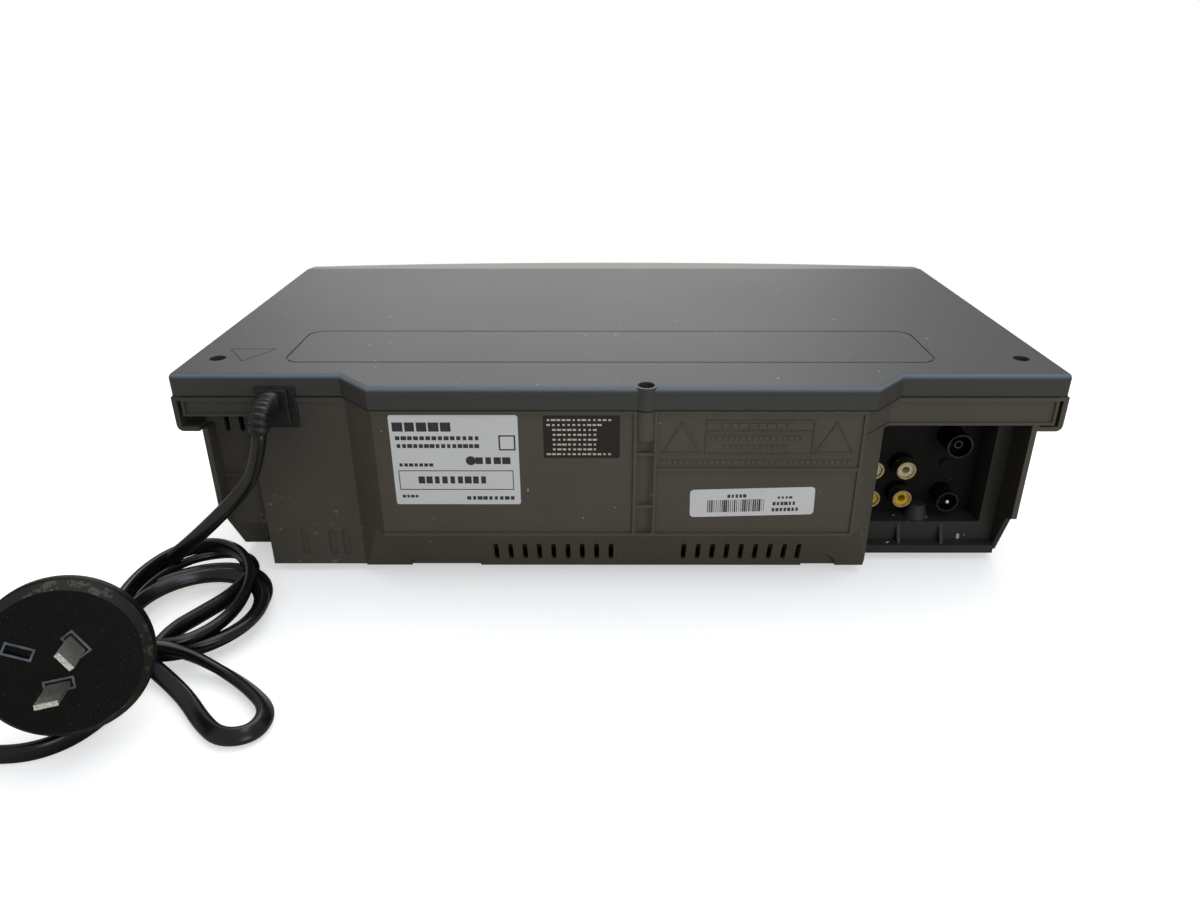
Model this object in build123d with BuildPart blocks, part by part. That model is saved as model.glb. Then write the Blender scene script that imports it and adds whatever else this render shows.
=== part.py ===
from build123d import *
from math import asin, atan2, cos, degrees, hypot, pi, radians, sin, sqrt, tan
import os

# Home video cassette recorder, millimetres. The front faces -Y, the rear faces +Y, and z = 0 is
# the surface that it stands on. The mains lead leaves the rear at +X, the sockets are at -X.

# Cabinet
width = 360.0
height = 92.0
wall = 2.2
foot_height = 4.0
foot_radius = 9.0
cover_rim = 9.6
cover_edge_radius = 2.0
corner_radius = 2.5
front_taper = 2.6
skirt_step = 10.0
skirt_drop = 14.9
skirt_radius = 2.7
skirt_edge = 2.0
skirt_pocket = 8.0

# Lengths from front to rear
fascia_depth = 36.5
deck_front_gap = 5.0
deck_length = 168.0
deck_rear_gap = 16.0
boss_bulge = 1.5
bulge_step = 14.5
case_step = 1.5
depth = fascia_depth + deck_front_gap + deck_length + deck_rear_gap + boss_bulge

# Places that follow from them
half = width / 2
front_y = -depth / 2
joint_y = front_y + fascia_depth
deck_front = joint_y + deck_front_gap
deck_rear = deck_front + deck_length
bulge_y = deck_rear + deck_rear_gap
end_y = bulge_y - bulge_step
face_y = bulge_y - case_step
front_half = half - front_taper
side = half - skirt_step
joint_z = height - cover_rim
skirt_z = joint_z - skirt_drop
floor_z = foot_height
inner_floor = floor_z + wall

# Rear wall: block, chamfers, bulge and ledge on the mains side, then the socket bay
block_inset = 19.4
block_chamfer = 59.6
bulge_inset = 73.0
setback = 7.5
corner_foot = 18.0
corner_slope_z = 20.0
bay_width = 61.1
bay_chamfer = 2.1
bulge_to_bay = 10.7
ledge_z = 26.5
ledge_width = 4.5
slope_run = 7.5
block_x = side - block_inset
chamfer_x = side - block_chamfer
bulge_x = side - bulge_inset
bay_x = -side + wall + bay_width
bay_end_x = -side + wall
right_bulge_x = bay_x + bulge_to_bay
right_chamfer_x = bay_x - bay_chamfer

# Grommet opening, shared by the cover, the case and the grommet
grommet_x = half - 41.0
grommet_width = 13.0
grommet_top = 87.0
grommet_bottom = 70.8
grommet_gap = 0.25

# Screws that hold the cover
corner_screw_inset = 13.0
corner_screw_y = end_y - 19.6
centre_boss_x = -9.8
centre_boss_radius = 4.8
screw_hole_radius = 1.5
screw_gap = 0.2
recess_radius = 3.3
pillar_radius = 4.6
centre_boss_y = bulge_y + boss_bulge - centre_boss_radius

# Relief of the rear wall
warning_rib_z = 56.3
column_half = 4.6
column_web_z = (39.6, 63.1)
trough_radius = 3.4
trough_depth = 1.2
tail_z = 70.0
vent_count = 9
vent_pitch = 6.15
vent_slot = 2.1
vent_height = 9.4
vent_z = 12.8
vent_left_x = 27.9
vent_right_x = -52.5
vent_cut = bulge_step + 4
corner_vent_inset = 10.2
corner_vent_z = 68.8
corner_rib_z = 43.6
blind_insets = (34.5, 46.5, 52.3)
blind_width = 3.0
blind_height = 12.6
blind_depth = 0.7
blind_z = 15.2
notch_x = 75.0
notch_width = 30.0
notch_height = 4.0
notch_depth = 1.2
slope_foot_y = face_y - ledge_width - slope_run
back_y = slope_foot_y - notch_depth
pocket_x = right_bulge_x + 9.0
pocket_radius = 7.5

# Inside: the board lies low, the tape deck stands on pillars above it
board_standoff = 2.8
board_thickness = 1.6
board_z = inner_floor + board_standoff
deck_z = 20.0
deck_half = 100.2
seat_radius = 3.5
screw_length = 9.0
pillar_top = joint_z + 1.6
foot_peg = 1.8
peg_radius = 3.0
foot_places = [(x, y) for x in (40 - half, half - 40) for y in (joint_y + 20, end_y - 32)]
board_seats = [(x, y) for x in (-side + 16, side - 16) for y in (joint_y + 18, deck_rear - 45)]
deck_seats = [(x, y) for x in (-deck_half + 6, deck_half - 6) for y in (deck_front + 6, deck_rear - 10)]

# Socket bay: an opening in a recessed surround, with a tray below it
bay_rim_z = 70.5
bay_surround_y = end_y - 14.5
bay_panel_y = end_y - 27.5
bay_open_right = -side + 8.8
bay_floor = 17.0
bay_tray_z = 8.0
panel_thickness = 1.5
tray_reach = 5.5
tray_boss_inset = 27.8
tray_boss_height = 6.5
gusset_thickness = 1.4
left_rim_z = 74.4
rib = 1.2
lip_proud = 0.8
lip_height = 1.6
fin_step_z = 24.5
fin_step_y = end_y - 4.5
fin_foot_y = end_y - 12.5

# Fits
running = 0.05
part_gap = 0.25

# Top cover
cover_chamfer_left = chamfer_x + 1.2
cover_bulge_left = bulge_x + 0.5
cover_bulge_right = right_bulge_x - 3.0
cover_chamfer_right = right_chamfer_x - 3.7
groove_center = (3.75, end_y - 35.75)
groove_size = (270.5, 42.5)
groove_radius = 7.0
groove_width = 0.8
groove_depth = 0.4
corner_recess_depth = 6.0
centre_recess_depth = 5.0
shank_radius = 1.4
head_radius = 2.9
head_height = 2.2
cover_boss_radius = 5.2

# Front moulding, bowed outwards, with a rolled top edge
bow_radius = 1500.0
fascia_z = floor_z + 1.0
fascia_wall = 3.0
fascia_roll = 24.0
fascia_end_radius = 3.5

# Cassette door and the sleeve round its opening
door_reach = 95.5
door_bottom = 42.5
door_top = height - 12.5
door_depth = 4.5
door_thickness = 2.2
sleeve_wall = 1.6
sleeve_y = front_y + 15
hinge_y = front_y + 8.957 + bow_radius - sqrt(bow_radius**2 - door_reach**2)
hinge_z = door_top - 1.8
hinge_radius = 1.2
lug_radius = 1.6
lug_width = 2.0
spring_pin = 8.0
spring_radius = 2.2

# Display
window_reach = 62.0
window_bottom = 13.0
window_top = 38.0
window_ledge = 3.0
window_depth = 1.8

# Push buttons: across, up, width, height
key_column = half - 40.0
key_pair = 12.0
key_row = height - 34.0
button_places = {
    "power_button": (-key_column, key_row, 26, 8),
    "channel_up_button": (-key_column - key_pair, key_row - 20, 12, 7),
    "channel_down_button": (-key_column + key_pair, key_row - 20, 12, 7),
    "eject_button": (key_column, key_row, 26, 8),
    "play_button": (key_column, key_row - 14, 34, 7),
    "rewind_button": (key_column - key_pair, key_row - 27, 18, 7),
    "forward_button": (key_column + key_pair, key_row - 27, 18, 7),
    "record_button": (key_column, key_row - 41, 22, 6),
}
button_proud = 0.8
button_radius = 1.0
button_travel = 0.7
flange_reach = 1.2
flange_thickness = 1.4
stem_width = 3.0
stem_gap = 0.3

# Board behind the front
front_board_y = front_y + 18
front_board_thickness = 1.6
front_board_reach = half - 12.0
front_board_step = 104.0
switch_height = 3.5
plunger_height = 0.9
plunger_radius = 1.7
switch_tip_y = front_board_y - switch_height - plunger_height
board_bosses = [(17 - half, 12), (half - 17, 12), (70 - half, height - 30), (half - 70, height - 30)]
front_jack_places = [(-key_column - key_pair, 18), (-key_column + key_pair, 18)]
front_jack_radius = 4.15

# Sockets in the bay
jack_x = (bay_x - 19.8, bay_x - 5.8)
jack_z = (40.7, 26.7)
jack_shell_radius = 4.15
jack_root_radius = 3.8
jack_bore = 3.4
jack_hole = 1.65
collar_radius = 4.9
jack_tip_y = bay_panel_y + 10
aerial_x = bay_x - 39.6
aerial_in_z = 54.2
aerial_in_radius = 5.45
aerial_in_bore = 4.8
aerial_out_z = 25.9
aerial_out_radius = 4.75

# Tape deck
deck_plate = 1.5
plate_top = deck_z + deck_plate
deck_wall = 1.2
deck_wall_top = 70.0
deck_wall_rear = 40.0
drum_center = (0, 62)
drum_radius = 31.0
drum_tilt = 5.7
lower_drum_height = 19.0
upper_drum_height = 15.7
reel_places = [(-46, -27.5), (46, -27.5)]
reel_radius = 18.0
reel_z = 23.0
shaft_radius = 1.5
capstan_x = 58.0
capstan_y = 36.0
flywheel_radius = 20.0
clutch_x = 0.0
clutch_y = -27.5
clutch_radius = 8.0
clutch_pulley_radius = 14.0
belt_z = 16.0
belt_height = 1.6
belt_thickness = 1.0
idler_radius = 11.0
idler_arm_length = clutch_radius + idler_radius + 0.3
pinch_x = 88.0
pinch_y = 40.0
pinch_arm_length = 21.6
pinch_rest_angle = 150.4
pinch_radius = 7.0
pivot_radius = 2.0
guide_center_x = 45.3
guide_center_y = 75.3
guide_radius = 89.4
guide_start_angle = -38.2
guide_swing = 34.8
guide_boss = 2.5
cam_x = -76.0
cam_y = 62.0
cam_radius = 21.0
cam_z = 27.0
worm_radius = 3.8
worm_y = cam_y + cam_radius + worm_radius + 0.2
worm_z = cam_z + 3
motor_radius = 8.0
tension_x = -84.0
tension_y = 18.0
tension_tip = (-64.0, 26.0)

# Cassette holder, drawn at its raised place, and the slide that carries it
cassette_reach = 94.0
holder_floor = 43.5
holder_plate = 1.2
holder_inside = cassette_reach + 1.0
holder_top = holder_floor + 27.0
slide_inside = holder_inside + holder_plate + 0.8
holder_pin_y = (-58.0, -40.0)
holder_pin_z = 60.0
slide_pin_y = (-62.0, -34.0)
slide_pin_z = 66.0
slide_travel = 63.0
holder_drop = 12.0
pin_radius = 1.2

# Mains lead: a flat twin flex, so its diameter here is its width
lead_diameter = 6.4
lead_floor = lead_diameter / 2 + 0.2
relief_radius = 3.8
relief_rib_radius = 4.7
lead_bend = (144.5, 111.5, 57.0)
relief_bend = (139.3, 110.5, 82.5)
relief_end = tuple(a + (b - a) / 3 for a, b in zip(relief_bend, lead_bend))
relief_path = [(grommet_x, end_y + 1, 82.0), relief_bend, relief_end]
lead_route = [
    relief_end,
    lead_bend,
    (156.0, 109.5, 43.0),
    (171.0, 106.5, 28.5),
    (186.0, 104.0, 15.0),
    (197.0, 106.0, 8.0),
]
# The hank lies beside the set-back corner: an oval ring of loose turns
hank_center = (174.5, 127.0)
hank_outer = (33.0, 40.0)
hank_inner = (13.0, 20.0)
hank_height = 14.0
# One turn of the hank reaches out as a narrow loop, and the last one runs on under the plug
loop_route = [
    (178.0, 160.5, lead_floor),
    (161.0, 163.0, lead_floor),
    (145.0, 169.5, lead_floor),
    (131.5, 179.0, lead_floor),
    (121.5, 189.5, lead_floor),
    (123.0, 200.5, lead_floor),
    (133.5, 202.5, lead_floor),
    (142.5, 195.0, lead_floor),
    (152.0, 184.0, lead_floor),
    (163.0, 174.0, lead_floor),
    (175.5, 164.0, lead_floor),
]
tail_route = [
    (171.0, 150.0, 8.0),
    (172.5, 169.0, 4.5),
    (176.0, 188.0, lead_floor),
    (183.0, 204.0, lead_floor),
    (198.0, 211.0, lead_floor),
    (224.0, 207.5, 3.8),
    (236.0, 206.0, 16.5),
    (232.0, 206.0, 34.0),
    (216.0, 207.0, 43.0),
    (201.5, 203.9, 39.4),
]
# Round plug, leaning back on the hank, with two slanting blades and an empty earth slot
plug_center = (176.4, 204.2, 36.0)
plug_facing = (-0.345, 0.89, 0.3)
plug_slot_way = (0.862, 0.173, 0.477)
plug_radius = 26.0
plug_face_radius = 23.1
plug_bevel = 5.0
plug_rim = 3.0
plug_back = 17.0
plug_taper = 12.0
pattern_offset = 2.0
earth_reach = 10.3
slot_margin = 0.5
slot_depth = 1.0
blade_circle = 7.92
blade_width = 6.35
blade_thickness = 1.63
blade_length = 17.0

os.makedirs("parts", exist_ok=True)


def block(x0, x1, y0, y1, z0, z1, mode=Mode.ADD):
    """A box between three pairs of coordinates, in the part that is open."""
    with Locations(((x0 + x1) / 2, (y0 + y1) / 2, (z0 + z1) / 2)):
        Box(abs(x1 - x0), abs(y1 - y0), abs(z1 - z0), mode=mode)


def post(x, y, z0, z1, radius, mode=Mode.ADD):
    """An upright cylinder between two heights, in the part that is open."""
    with Locations((x, y, (z0 + z1) / 2)):
        Cylinder(radius, abs(z1 - z0), mode=mode)


def rod_x(x0, x1, y, z, radius, mode=Mode.ADD):
    """A cylinder that lies across the machine, in the part that is open."""
    with Locations(Location(((x0 + x1) / 2, y, z), (0, 90, 0))):
        Cylinder(radius, abs(x1 - x0), mode=mode)


def rod_y(x, y0, y1, z, radius, mode=Mode.ADD):
    """A cylinder that lies from front to rear, in the part that is open."""
    with Locations(Location((x, (y0 + y1) / 2, z), (90, 0, 0))):
        Cylinder(radius, abs(y1 - y0), mode=mode)


def link(a, ra, b, rb, z0, z1):
    """A flat link between two round ends, or the solid inside a belt."""
    dx, dy = b[0] - a[0], b[1] - a[1]
    run = hypot(dx, dy)
    turn = atan2(dy, dx)
    lean = asin((ra - rb) / run)
    up, down = turn + pi / 2 - lean, turn - pi / 2 + lean
    with BuildPart() as plate:
        with BuildSketch(Plane.XY.offset(z0)):
            with BuildLine():
                Polyline(
                    (a[0] + ra * cos(up), a[1] + ra * sin(up)),
                    (a[0] + ra * cos(down), a[1] + ra * sin(down)),
                    (b[0] + rb * cos(down), b[1] + rb * sin(down)),
                    (b[0] + rb * cos(up), b[1] + rb * sin(up)),
                    close=True,
                )
            make_face()
            with Locations(a):
                Circle(ra)
            with Locations(b):
                Circle(rb)
        extrude(amount=z1 - z0)
    return plate.part


def save(part, name):
    part.label = name
    export_step(part, f"parts/{name}.step")


# Bottom case: one tub moulding. The same outline, taken in by the wall, makes the room inside it.
def case_body(inset):
    top = joint_z + (inset and 1)
    with BuildPart() as body:
        with BuildSketch(Plane.XY.offset(skirt_z + inset)):
            with BuildLine():
                Polyline(
                    (half, end_y),
                    (-half, end_y),
                    (-front_half, joint_y - inset),
                    (front_half, joint_y - inset),
                    close=True,
                )
            make_face()
            if inset:
                offset(amount=-inset, kind=Kind.INTERSECTION, mode=Mode.REPLACE)
        extrude(amount=top - skirt_z - inset)
        skirt_edges = body.edges().filter_by(lambda e: abs(e.center().X) > side + wall)
        fillet(skirt_edges.group_by(Axis.Z)[0], skirt_radius - inset)
        with BuildSketch(Plane.XY.offset(floor_z + inset)):
            with BuildLine():
                Polyline(
                    (side, joint_y - inset),
                    (side, end_y - setback),
                    (block_x, end_y - setback),
                    (block_x, end_y),
                    (chamfer_x, end_y),
                    (bulge_x, face_y),
                    (right_bulge_x, face_y),
                    (right_chamfer_x, end_y),
                    (-side, end_y),
                    (-side, joint_y - inset),
                    close=True,
                )
            make_face()
            if inset:
                offset(amount=-inset, kind=Kind.INTERSECTION, mode=Mode.REPLACE)
        extrude(amount=top - floor_z - inset)
        with BuildSketch(Plane.YZ.offset(bay_x)):
            with BuildLine():
                Polyline(
                    (face_y + 1, ledge_z + inset),
                    (face_y - ledge_width - inset, ledge_z + inset),
                    (face_y - ledge_width - slope_run - inset, floor_z),
                    (face_y - ledge_width - slope_run - inset, 0),
                    (face_y + 1, 0),
                    close=True,
                )
            make_face()
        extrude(amount=side - bay_x, mode=Mode.SUBTRACT)
        with BuildSketch(Plane.YZ.offset(block_x - inset)):
            with BuildLine():
                Polyline(
                    (end_y + 1, corner_slope_z + inset),
                    (end_y - setback - inset, corner_slope_z + inset),
                    (end_y - corner_foot - inset, floor_z),
                    (end_y - corner_foot - inset, 0),
                    (end_y + 1, 0),
                    close=True,
                )
            make_face()
        extrude(amount=side + 1 - block_x + inset, mode=Mode.SUBTRACT)
    return body.part


case_shell = case_body(0)
case_room = case_body(wall)

rear_line = [
    (half - 4, end_y),
    (chamfer_x, end_y),
    (bulge_x, face_y),
    (right_bulge_x, face_y),
    (right_chamfer_x, end_y),
    (-half + 4, end_y),
]


def rear_strip(points, z0, z1, proud):
    """A raised strip that follows the rear wall between two heights."""
    outer = [(x, y + proud) for x, y in reversed(points)]
    inner = [(x, y - proud) for x, y in points]
    with BuildPart() as strip:
        with BuildSketch(Plane.XY.offset(z0)):
            with BuildLine():
                Polyline(*inner, *outer, close=True)
            make_face()
        extrude(amount=z1 - z0)
    return strip.part


case_strips = [
    rear_strip(rear_line, joint_z - lip_height, joint_z, lip_proud),
    rear_strip(rear_line[3:], bay_rim_z, bay_rim_z + rib, lip_proud),
    rear_strip([rear_line[0], (grommet_x + 7, end_y)], left_rim_z, left_rim_z + rib, lip_proud),
    rear_strip(rear_line[2:4], ledge_z, ledge_z + rib, rib),
]

with BuildPart() as bottom_case:
    add(case_shell)
    # side walls run on behind the set-back corner as fins
    block(side - wall, side, joint_y, end_y, floor_z, skirt_z + 1)
    add(case_room, mode=Mode.SUBTRACT)
    # solid again round the socket bay and over the set-back corner
    block(bay_x + wall, -side + 0.5, bay_panel_y - wall, end_y, floor_z, joint_z)
    block(block_x - wall, side + 1.5, end_y - setback - wall, end_y, skirt_z, joint_z)
    block(block_x, side + 1, end_y - setback, end_y + 1, floor_z - 1, left_rim_z, mode=Mode.SUBTRACT)
    block(side - wall, side, end_y - corner_foot - 1, end_y, floor_z, skirt_z + 1)
    # recess of the bay, its opening, the window for the sockets and the room under its floor
    block(bay_end_x, bay_x, bay_surround_y, face_y, bay_tray_z, bay_rim_z, mode=Mode.SUBTRACT)
    block(bay_end_x, bay_x, bay_surround_y + tray_reach, face_y, 0, bay_rim_z, mode=Mode.SUBTRACT)
    block(bay_open_right, bay_x, bay_panel_y, end_y, bay_floor, bay_rim_z - 1, mode=Mode.SUBTRACT)
    block(
        bay_open_right + 3, bay_x, bay_panel_y - wall - 1, bay_panel_y + 1,
        bay_floor + 3, bay_rim_z - 4, mode=Mode.SUBTRACT,
    )
    block(
        bay_end_x, bay_x, bay_panel_y - wall - 1, bay_surround_y - wall,
        inner_floor, bay_floor - wall, mode=Mode.SUBTRACT,
    )
    block(
        bay_end_x, bay_open_right - wall, bay_panel_y - wall - 1, bay_surround_y - wall,
        inner_floor, joint_z - wall, mode=Mode.SUBTRACT,
    )
    # the rear ends of the skirts are open below the rim panels and beside them
    for sign, panel_z in ((-1, bay_rim_z), (1, left_rim_z)):
        block(
            sign * (side + 0.5), sign * (half - skirt_edge), end_y - skirt_pocket, end_y + 1,
            skirt_z + skirt_edge, panel_z, mode=Mode.SUBTRACT,
        )
        block(
            sign * (half - 4), sign * (half - skirt_edge), end_y - skirt_pocket, end_y + 1,
            skirt_z + skirt_edge, joint_z - lip_height, mode=Mode.SUBTRACT,
        )
    # rib across the set-back corner and the boss on the floor of the bay
    block(
        block_x - 1, side - wall + 1, end_y - setback - 1, end_y - setback + rib,
        corner_rib_z, corner_rib_z + rib,
    )
    with Locations((bay_x - tray_boss_inset, bay_panel_y + 7, bay_floor - 0.5)):
        Cone(
            tray_boss_height - 1, tray_boss_height - 3, tray_boss_height + 0.5,
            align=(Align.CENTER, Align.CENTER, Align.MIN),
        )
    # lower rear corners of both side walls step in and slope down to the floor
    with BuildSketch(Plane.YZ.offset(-side - 1)):
        with BuildLine():
            Polyline(
                (end_y + 2, ledge_z),
                (end_y, ledge_z),
                (fin_step_y, fin_step_z),
                (fin_foot_y, floor_z),
                (fin_foot_y, 0),
                (end_y + 2, 0),
                close=True,
            )
        make_face()
    extrude(amount=wall + 1.5, mode=Mode.SUBTRACT)
    with BuildSketch(Plane.YZ.offset(side - wall - 0.5)):
        with BuildLine():
            Polyline(
                (end_y + 2, ledge_z),
                (end_y, ledge_z),
                (fin_step_y, fin_step_z),
                (end_y - corner_foot, floor_z),
                (end_y - corner_foot, 0),
                (end_y + 2, 0),
                close=True,
            )
        make_face()
    extrude(amount=wall + 1.5, mode=Mode.SUBTRACT)
    # raised lips under the cover joint and round the two rim panels
    add(case_strips)
    block(-half + 4, -half + 4 + rib, end_y - 1, end_y + lip_proud, bay_rim_z, joint_z)
    block(half - 4 - rib, half - 4, end_y - 1, end_y + lip_proud, left_rim_z, joint_z)
    # border of the rear panel
    block(right_bulge_x, right_bulge_x + rib, face_y - 1, face_y + lip_proud, ledge_z, joint_z)
    rib_left = centre_boss_x - column_half
    block(right_bulge_x, rib_left, face_y - 1, face_y + lip_proud, warning_rib_z, warning_rib_z + rib)
    # column below the middle screw: two rails, a half-round trough with two webs, and the screw's tail
    with Locations((centre_boss_x, face_y + trough_radius - trough_depth, (ledge_z + joint_z) / 2)):
        Cylinder(trough_radius, joint_z - ledge_z - 2 * rib, mode=Mode.SUBTRACT)
    for rail_x in (centre_boss_x - column_half, centre_boss_x + column_half - rib):
        block(rail_x, rail_x + rib, face_y - 1, face_y + rib, ledge_z, joint_z)
    for web_z in column_web_z:
        block(rib_left, centre_boss_x + column_half, face_y - trough_depth, face_y + lip_proud, web_z, web_z + rib)
    post(centre_boss_x, centre_boss_y, tail_z, joint_z, centre_boss_radius - 0.5)
    # vent slots in the sloping foot of the wall and in the set-back corner
    with BuildSketch(Plane.XZ.offset(-bulge_y)):
        for group_x in (vent_left_x, vent_right_x):
            with Locations((group_x, vent_z)):
                with GridLocations(vent_pitch, 0, vent_count, 1):
                    SlotOverall(vent_height, vent_slot, rotation=90)
    extrude(amount=vent_cut, mode=Mode.SUBTRACT)
    with BuildSketch(Plane.XZ.offset(-end_y)):
        with Locations((side - corner_vent_inset, corner_vent_z)):
            with GridLocations(vent_pitch, 0, 2, 1):
                SlotOverall(vent_height, vent_slot, rotation=90)
    extrude(amount=setback + 2 * wall, mode=Mode.SUBTRACT)
    # blind oblong recesses in the corner block
    with BuildSketch(Plane.XZ.offset(-end_y)):
        with Locations(*[(side - d, blind_z) for d in blind_insets]):
            SlotOverall(blind_height, blind_width, rotation=90)
    extrude(amount=blind_depth, mode=Mode.SUBTRACT)
    # notch with rounded shoulders at the foot of the wall, and a curved pocket near the bay
    for x, reach, top in ((notch_x, notch_width / 2, notch_height), (pocket_x, pocket_radius, pocket_radius)):
        block(x - reach - 1.5, x + reach + 1.5, back_y - wall, slope_foot_y, floor_z, floor_z + top + 1.5)
    with BuildSketch(Plane.XZ.offset(-bulge_y)):
        with Locations((notch_x, floor_z)):
            RectangleRounded(notch_width, 2 * notch_height, 1.5)
        with Locations((pocket_x, floor_z)):
            Circle(pocket_radius)
    extrude(amount=bulge_y - back_y, mode=Mode.SUBTRACT)
    # opening for the grommet
    block(
        grommet_x - grommet_width / 2, grommet_x + grommet_width / 2, end_y - wall - 1, end_y + 2,
        grommet_bottom, joint_z + 1, mode=Mode.SUBTRACT,
    )
    # gussets on the tray of the bay
    for gusset_x in (bay_x - 19.5, bay_x - 38.5):
        with BuildSketch(Plane.YZ.offset(gusset_x)):
            with BuildLine():
                Polyline(
                    (bay_surround_y - 0.5, bay_tray_z - 0.5),
                    (bay_surround_y + tray_reach - 1, bay_tray_z - 0.5),
                    (bay_surround_y, bay_floor - rib),
                    (bay_surround_y - 0.5, bay_floor - rib),
                    close=True,
                )
            make_face()
        extrude(amount=gusset_thickness)
    # pillars for the cover screws, seats for the board and sockets for the feet
    for sign in (-1, 1):
        post(sign * (half - corner_screw_inset), corner_screw_y, skirt_z + wall, pillar_top, pillar_radius)
        post(
            sign * (half - corner_screw_inset), corner_screw_y, pillar_top - screw_length, pillar_top,
            screw_hole_radius, mode=Mode.SUBTRACT,
        )
    post(
        centre_boss_x, centre_boss_y, tail_z + 1, joint_z, screw_hole_radius, mode=Mode.SUBTRACT,
    )
    for x, y in board_seats:
        post(x, y, inner_floor, board_z, seat_radius)
    for x, y in deck_seats:
        post(x, y, inner_floor, deck_z, seat_radius)
    for x, y in foot_places:
        post(x, y, floor_z, floor_z + foot_peg, peg_radius + 0.1, mode=Mode.SUBTRACT)

save(bottom_case.part, "bottom_case")


# Top cover, open below, with its middle screw boss standing out of the rear rim
def cover_body(inset):
    with BuildPart() as body:
        with BuildSketch(Plane.XY.offset(joint_z - (inset and 1))):
            with BuildLine():
                Polyline(
                    (half, end_y),
                    (cover_chamfer_left, end_y),
                    (cover_bulge_left, bulge_y),
                    (cover_bulge_right, bulge_y),
                    (cover_chamfer_right, end_y),
                    (-half, end_y),
                    (-front_half, joint_y),
                    (front_half, joint_y),
                    close=True,
                )
            make_face()
            if inset:
                offset(amount=-inset, kind=Kind.INTERSECTION, mode=Mode.REPLACE)
        extrude(amount=height - inset - joint_z + (inset and 1))
        corners = body.edges().filter_by(Axis.Z).filter_by(
            lambda e: abs(e.center().X) > half - inset - 1 and e.center().Y > 0
        )
        fillet(corners, max(corner_radius - inset, 0.3))
        if not inset:
            rim = body.faces().sort_by(Axis.Z)[-1].edges().filter_by(lambda e: e.center().Y > joint_y + 1)
            fillet(rim, cover_edge_radius)
    return body.part


cover_shell = cover_body(0)
cover_room = cover_body(wall)

with BuildPart() as top_cover:
    add(cover_shell)
    add(cover_room, mode=Mode.SUBTRACT)
    with Locations((centre_boss_x, centre_boss_y, joint_z)):
        Cone(
            centre_boss_radius, centre_boss_radius - 0.3, height - joint_z,
            align=(Align.CENTER, Align.CENTER, Align.MIN),
        )
    post(centre_boss_x, centre_boss_y, height - centre_recess_depth, height + 1, recess_radius, mode=Mode.SUBTRACT)
    post(centre_boss_x, centre_boss_y, joint_z - 1, height, shank_radius + part_gap, mode=Mode.SUBTRACT)
    for sign in (-1, 1):
        screw_x = sign * (half - corner_screw_inset)
        post(screw_x, corner_screw_y, pillar_top, height - 1, cover_boss_radius)
        post(
            screw_x, corner_screw_y, height - corner_recess_depth, height + 1,
            recess_radius, mode=Mode.SUBTRACT,
        )
        post(screw_x, corner_screw_y, joint_z, height, shank_radius + part_gap, mode=Mode.SUBTRACT)
    with BuildSketch(Plane.XY.offset(height)):
        with Locations(groove_center):
            RectangleRounded(*groove_size, groove_radius)
            RectangleRounded(
                groove_size[0] - 2 * groove_width, groove_size[1] - 2 * groove_width,
                groove_radius - groove_width, mode=Mode.SUBTRACT,
            )
    extrude(amount=-groove_depth, mode=Mode.SUBTRACT)
    block(
        grommet_x - grommet_width / 2, grommet_x + grommet_width / 2, end_y - wall - 1, end_y + 1,
        joint_z - 1, grommet_top, mode=Mode.SUBTRACT,
    )
save(top_cover.part, "top_cover")

with BuildPart() as cover_screws:
    for sign in (-1, 1):
        screw_x = sign * (half - corner_screw_inset)
        head_z = height - corner_recess_depth
        post(screw_x, corner_screw_y, head_z, head_z + head_height, head_radius)
        post(screw_x, corner_screw_y, pillar_top - screw_length + 1, head_z, shank_radius)
        block(
            screw_x - 2, screw_x + 2, corner_screw_y - 0.4, corner_screw_y + 0.4,
            head_z + head_height - 1, head_z + head_height, mode=Mode.SUBTRACT,
        )
        block(
            screw_x - 0.4, screw_x + 0.4, corner_screw_y - 2, corner_screw_y + 2,
            head_z + head_height - 1, head_z + head_height, mode=Mode.SUBTRACT,
        )
    head_z = height - centre_recess_depth
    post(centre_boss_x, centre_boss_y, head_z, head_z + head_height, head_radius)
    post(centre_boss_x, centre_boss_y, tail_z + 2, head_z, shank_radius)
save(cover_screws.part, "cover_screws")

with BuildPart() as feet:
    for x, y in foot_places:
        post(x, y, 0, floor_z, foot_radius)
        post(x, y, floor_z, floor_z + foot_peg - 0.1, peg_radius)
    chamfer(feet.faces().sort_by(Axis.Z)[0:4].edges(), 1.2)
save(feet.part, "feet")


# Front moulding
def bow_y(x, inward=0):
    """Front face at a place across the machine, or a surface at a depth behind it."""
    return front_y + bow_radius - sqrt((bow_radius - inward) ** 2 - x * x)


def front_plane(x, z, inward=0):
    """A plane square to the bowed front, at a depth behind it."""
    turn = asin(x / bow_radius)
    reach = bow_radius - inward
    return Plane(
        origin=(reach * sin(turn), front_y + bow_radius - reach * cos(turn), z),
        x_dir=(cos(turn), sin(turn), 0),
        z_dir=(sin(turn), -cos(turn), 0),
    )


def bow_band(reach, z0, z1, near, far):
    """A curved plate between two depths behind the front."""
    with BuildPart() as band:
        with BuildSketch(Plane.XY.offset(z0)):
            with BuildLine():
                ThreePointArc((-reach, bow_y(reach, near)), (0, bow_y(0, near)), (reach, bow_y(reach, near)))
                Line((reach, bow_y(reach, near)), (reach, bow_y(reach, far)))
                ThreePointArc((reach, bow_y(reach, far)), (0, bow_y(0, far)), (-reach, bow_y(reach, far)))
                Line((-reach, bow_y(reach, far)), (-reach, bow_y(reach, near)))
            make_face()
        extrude(amount=z1 - z0)
    return band.part


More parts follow.
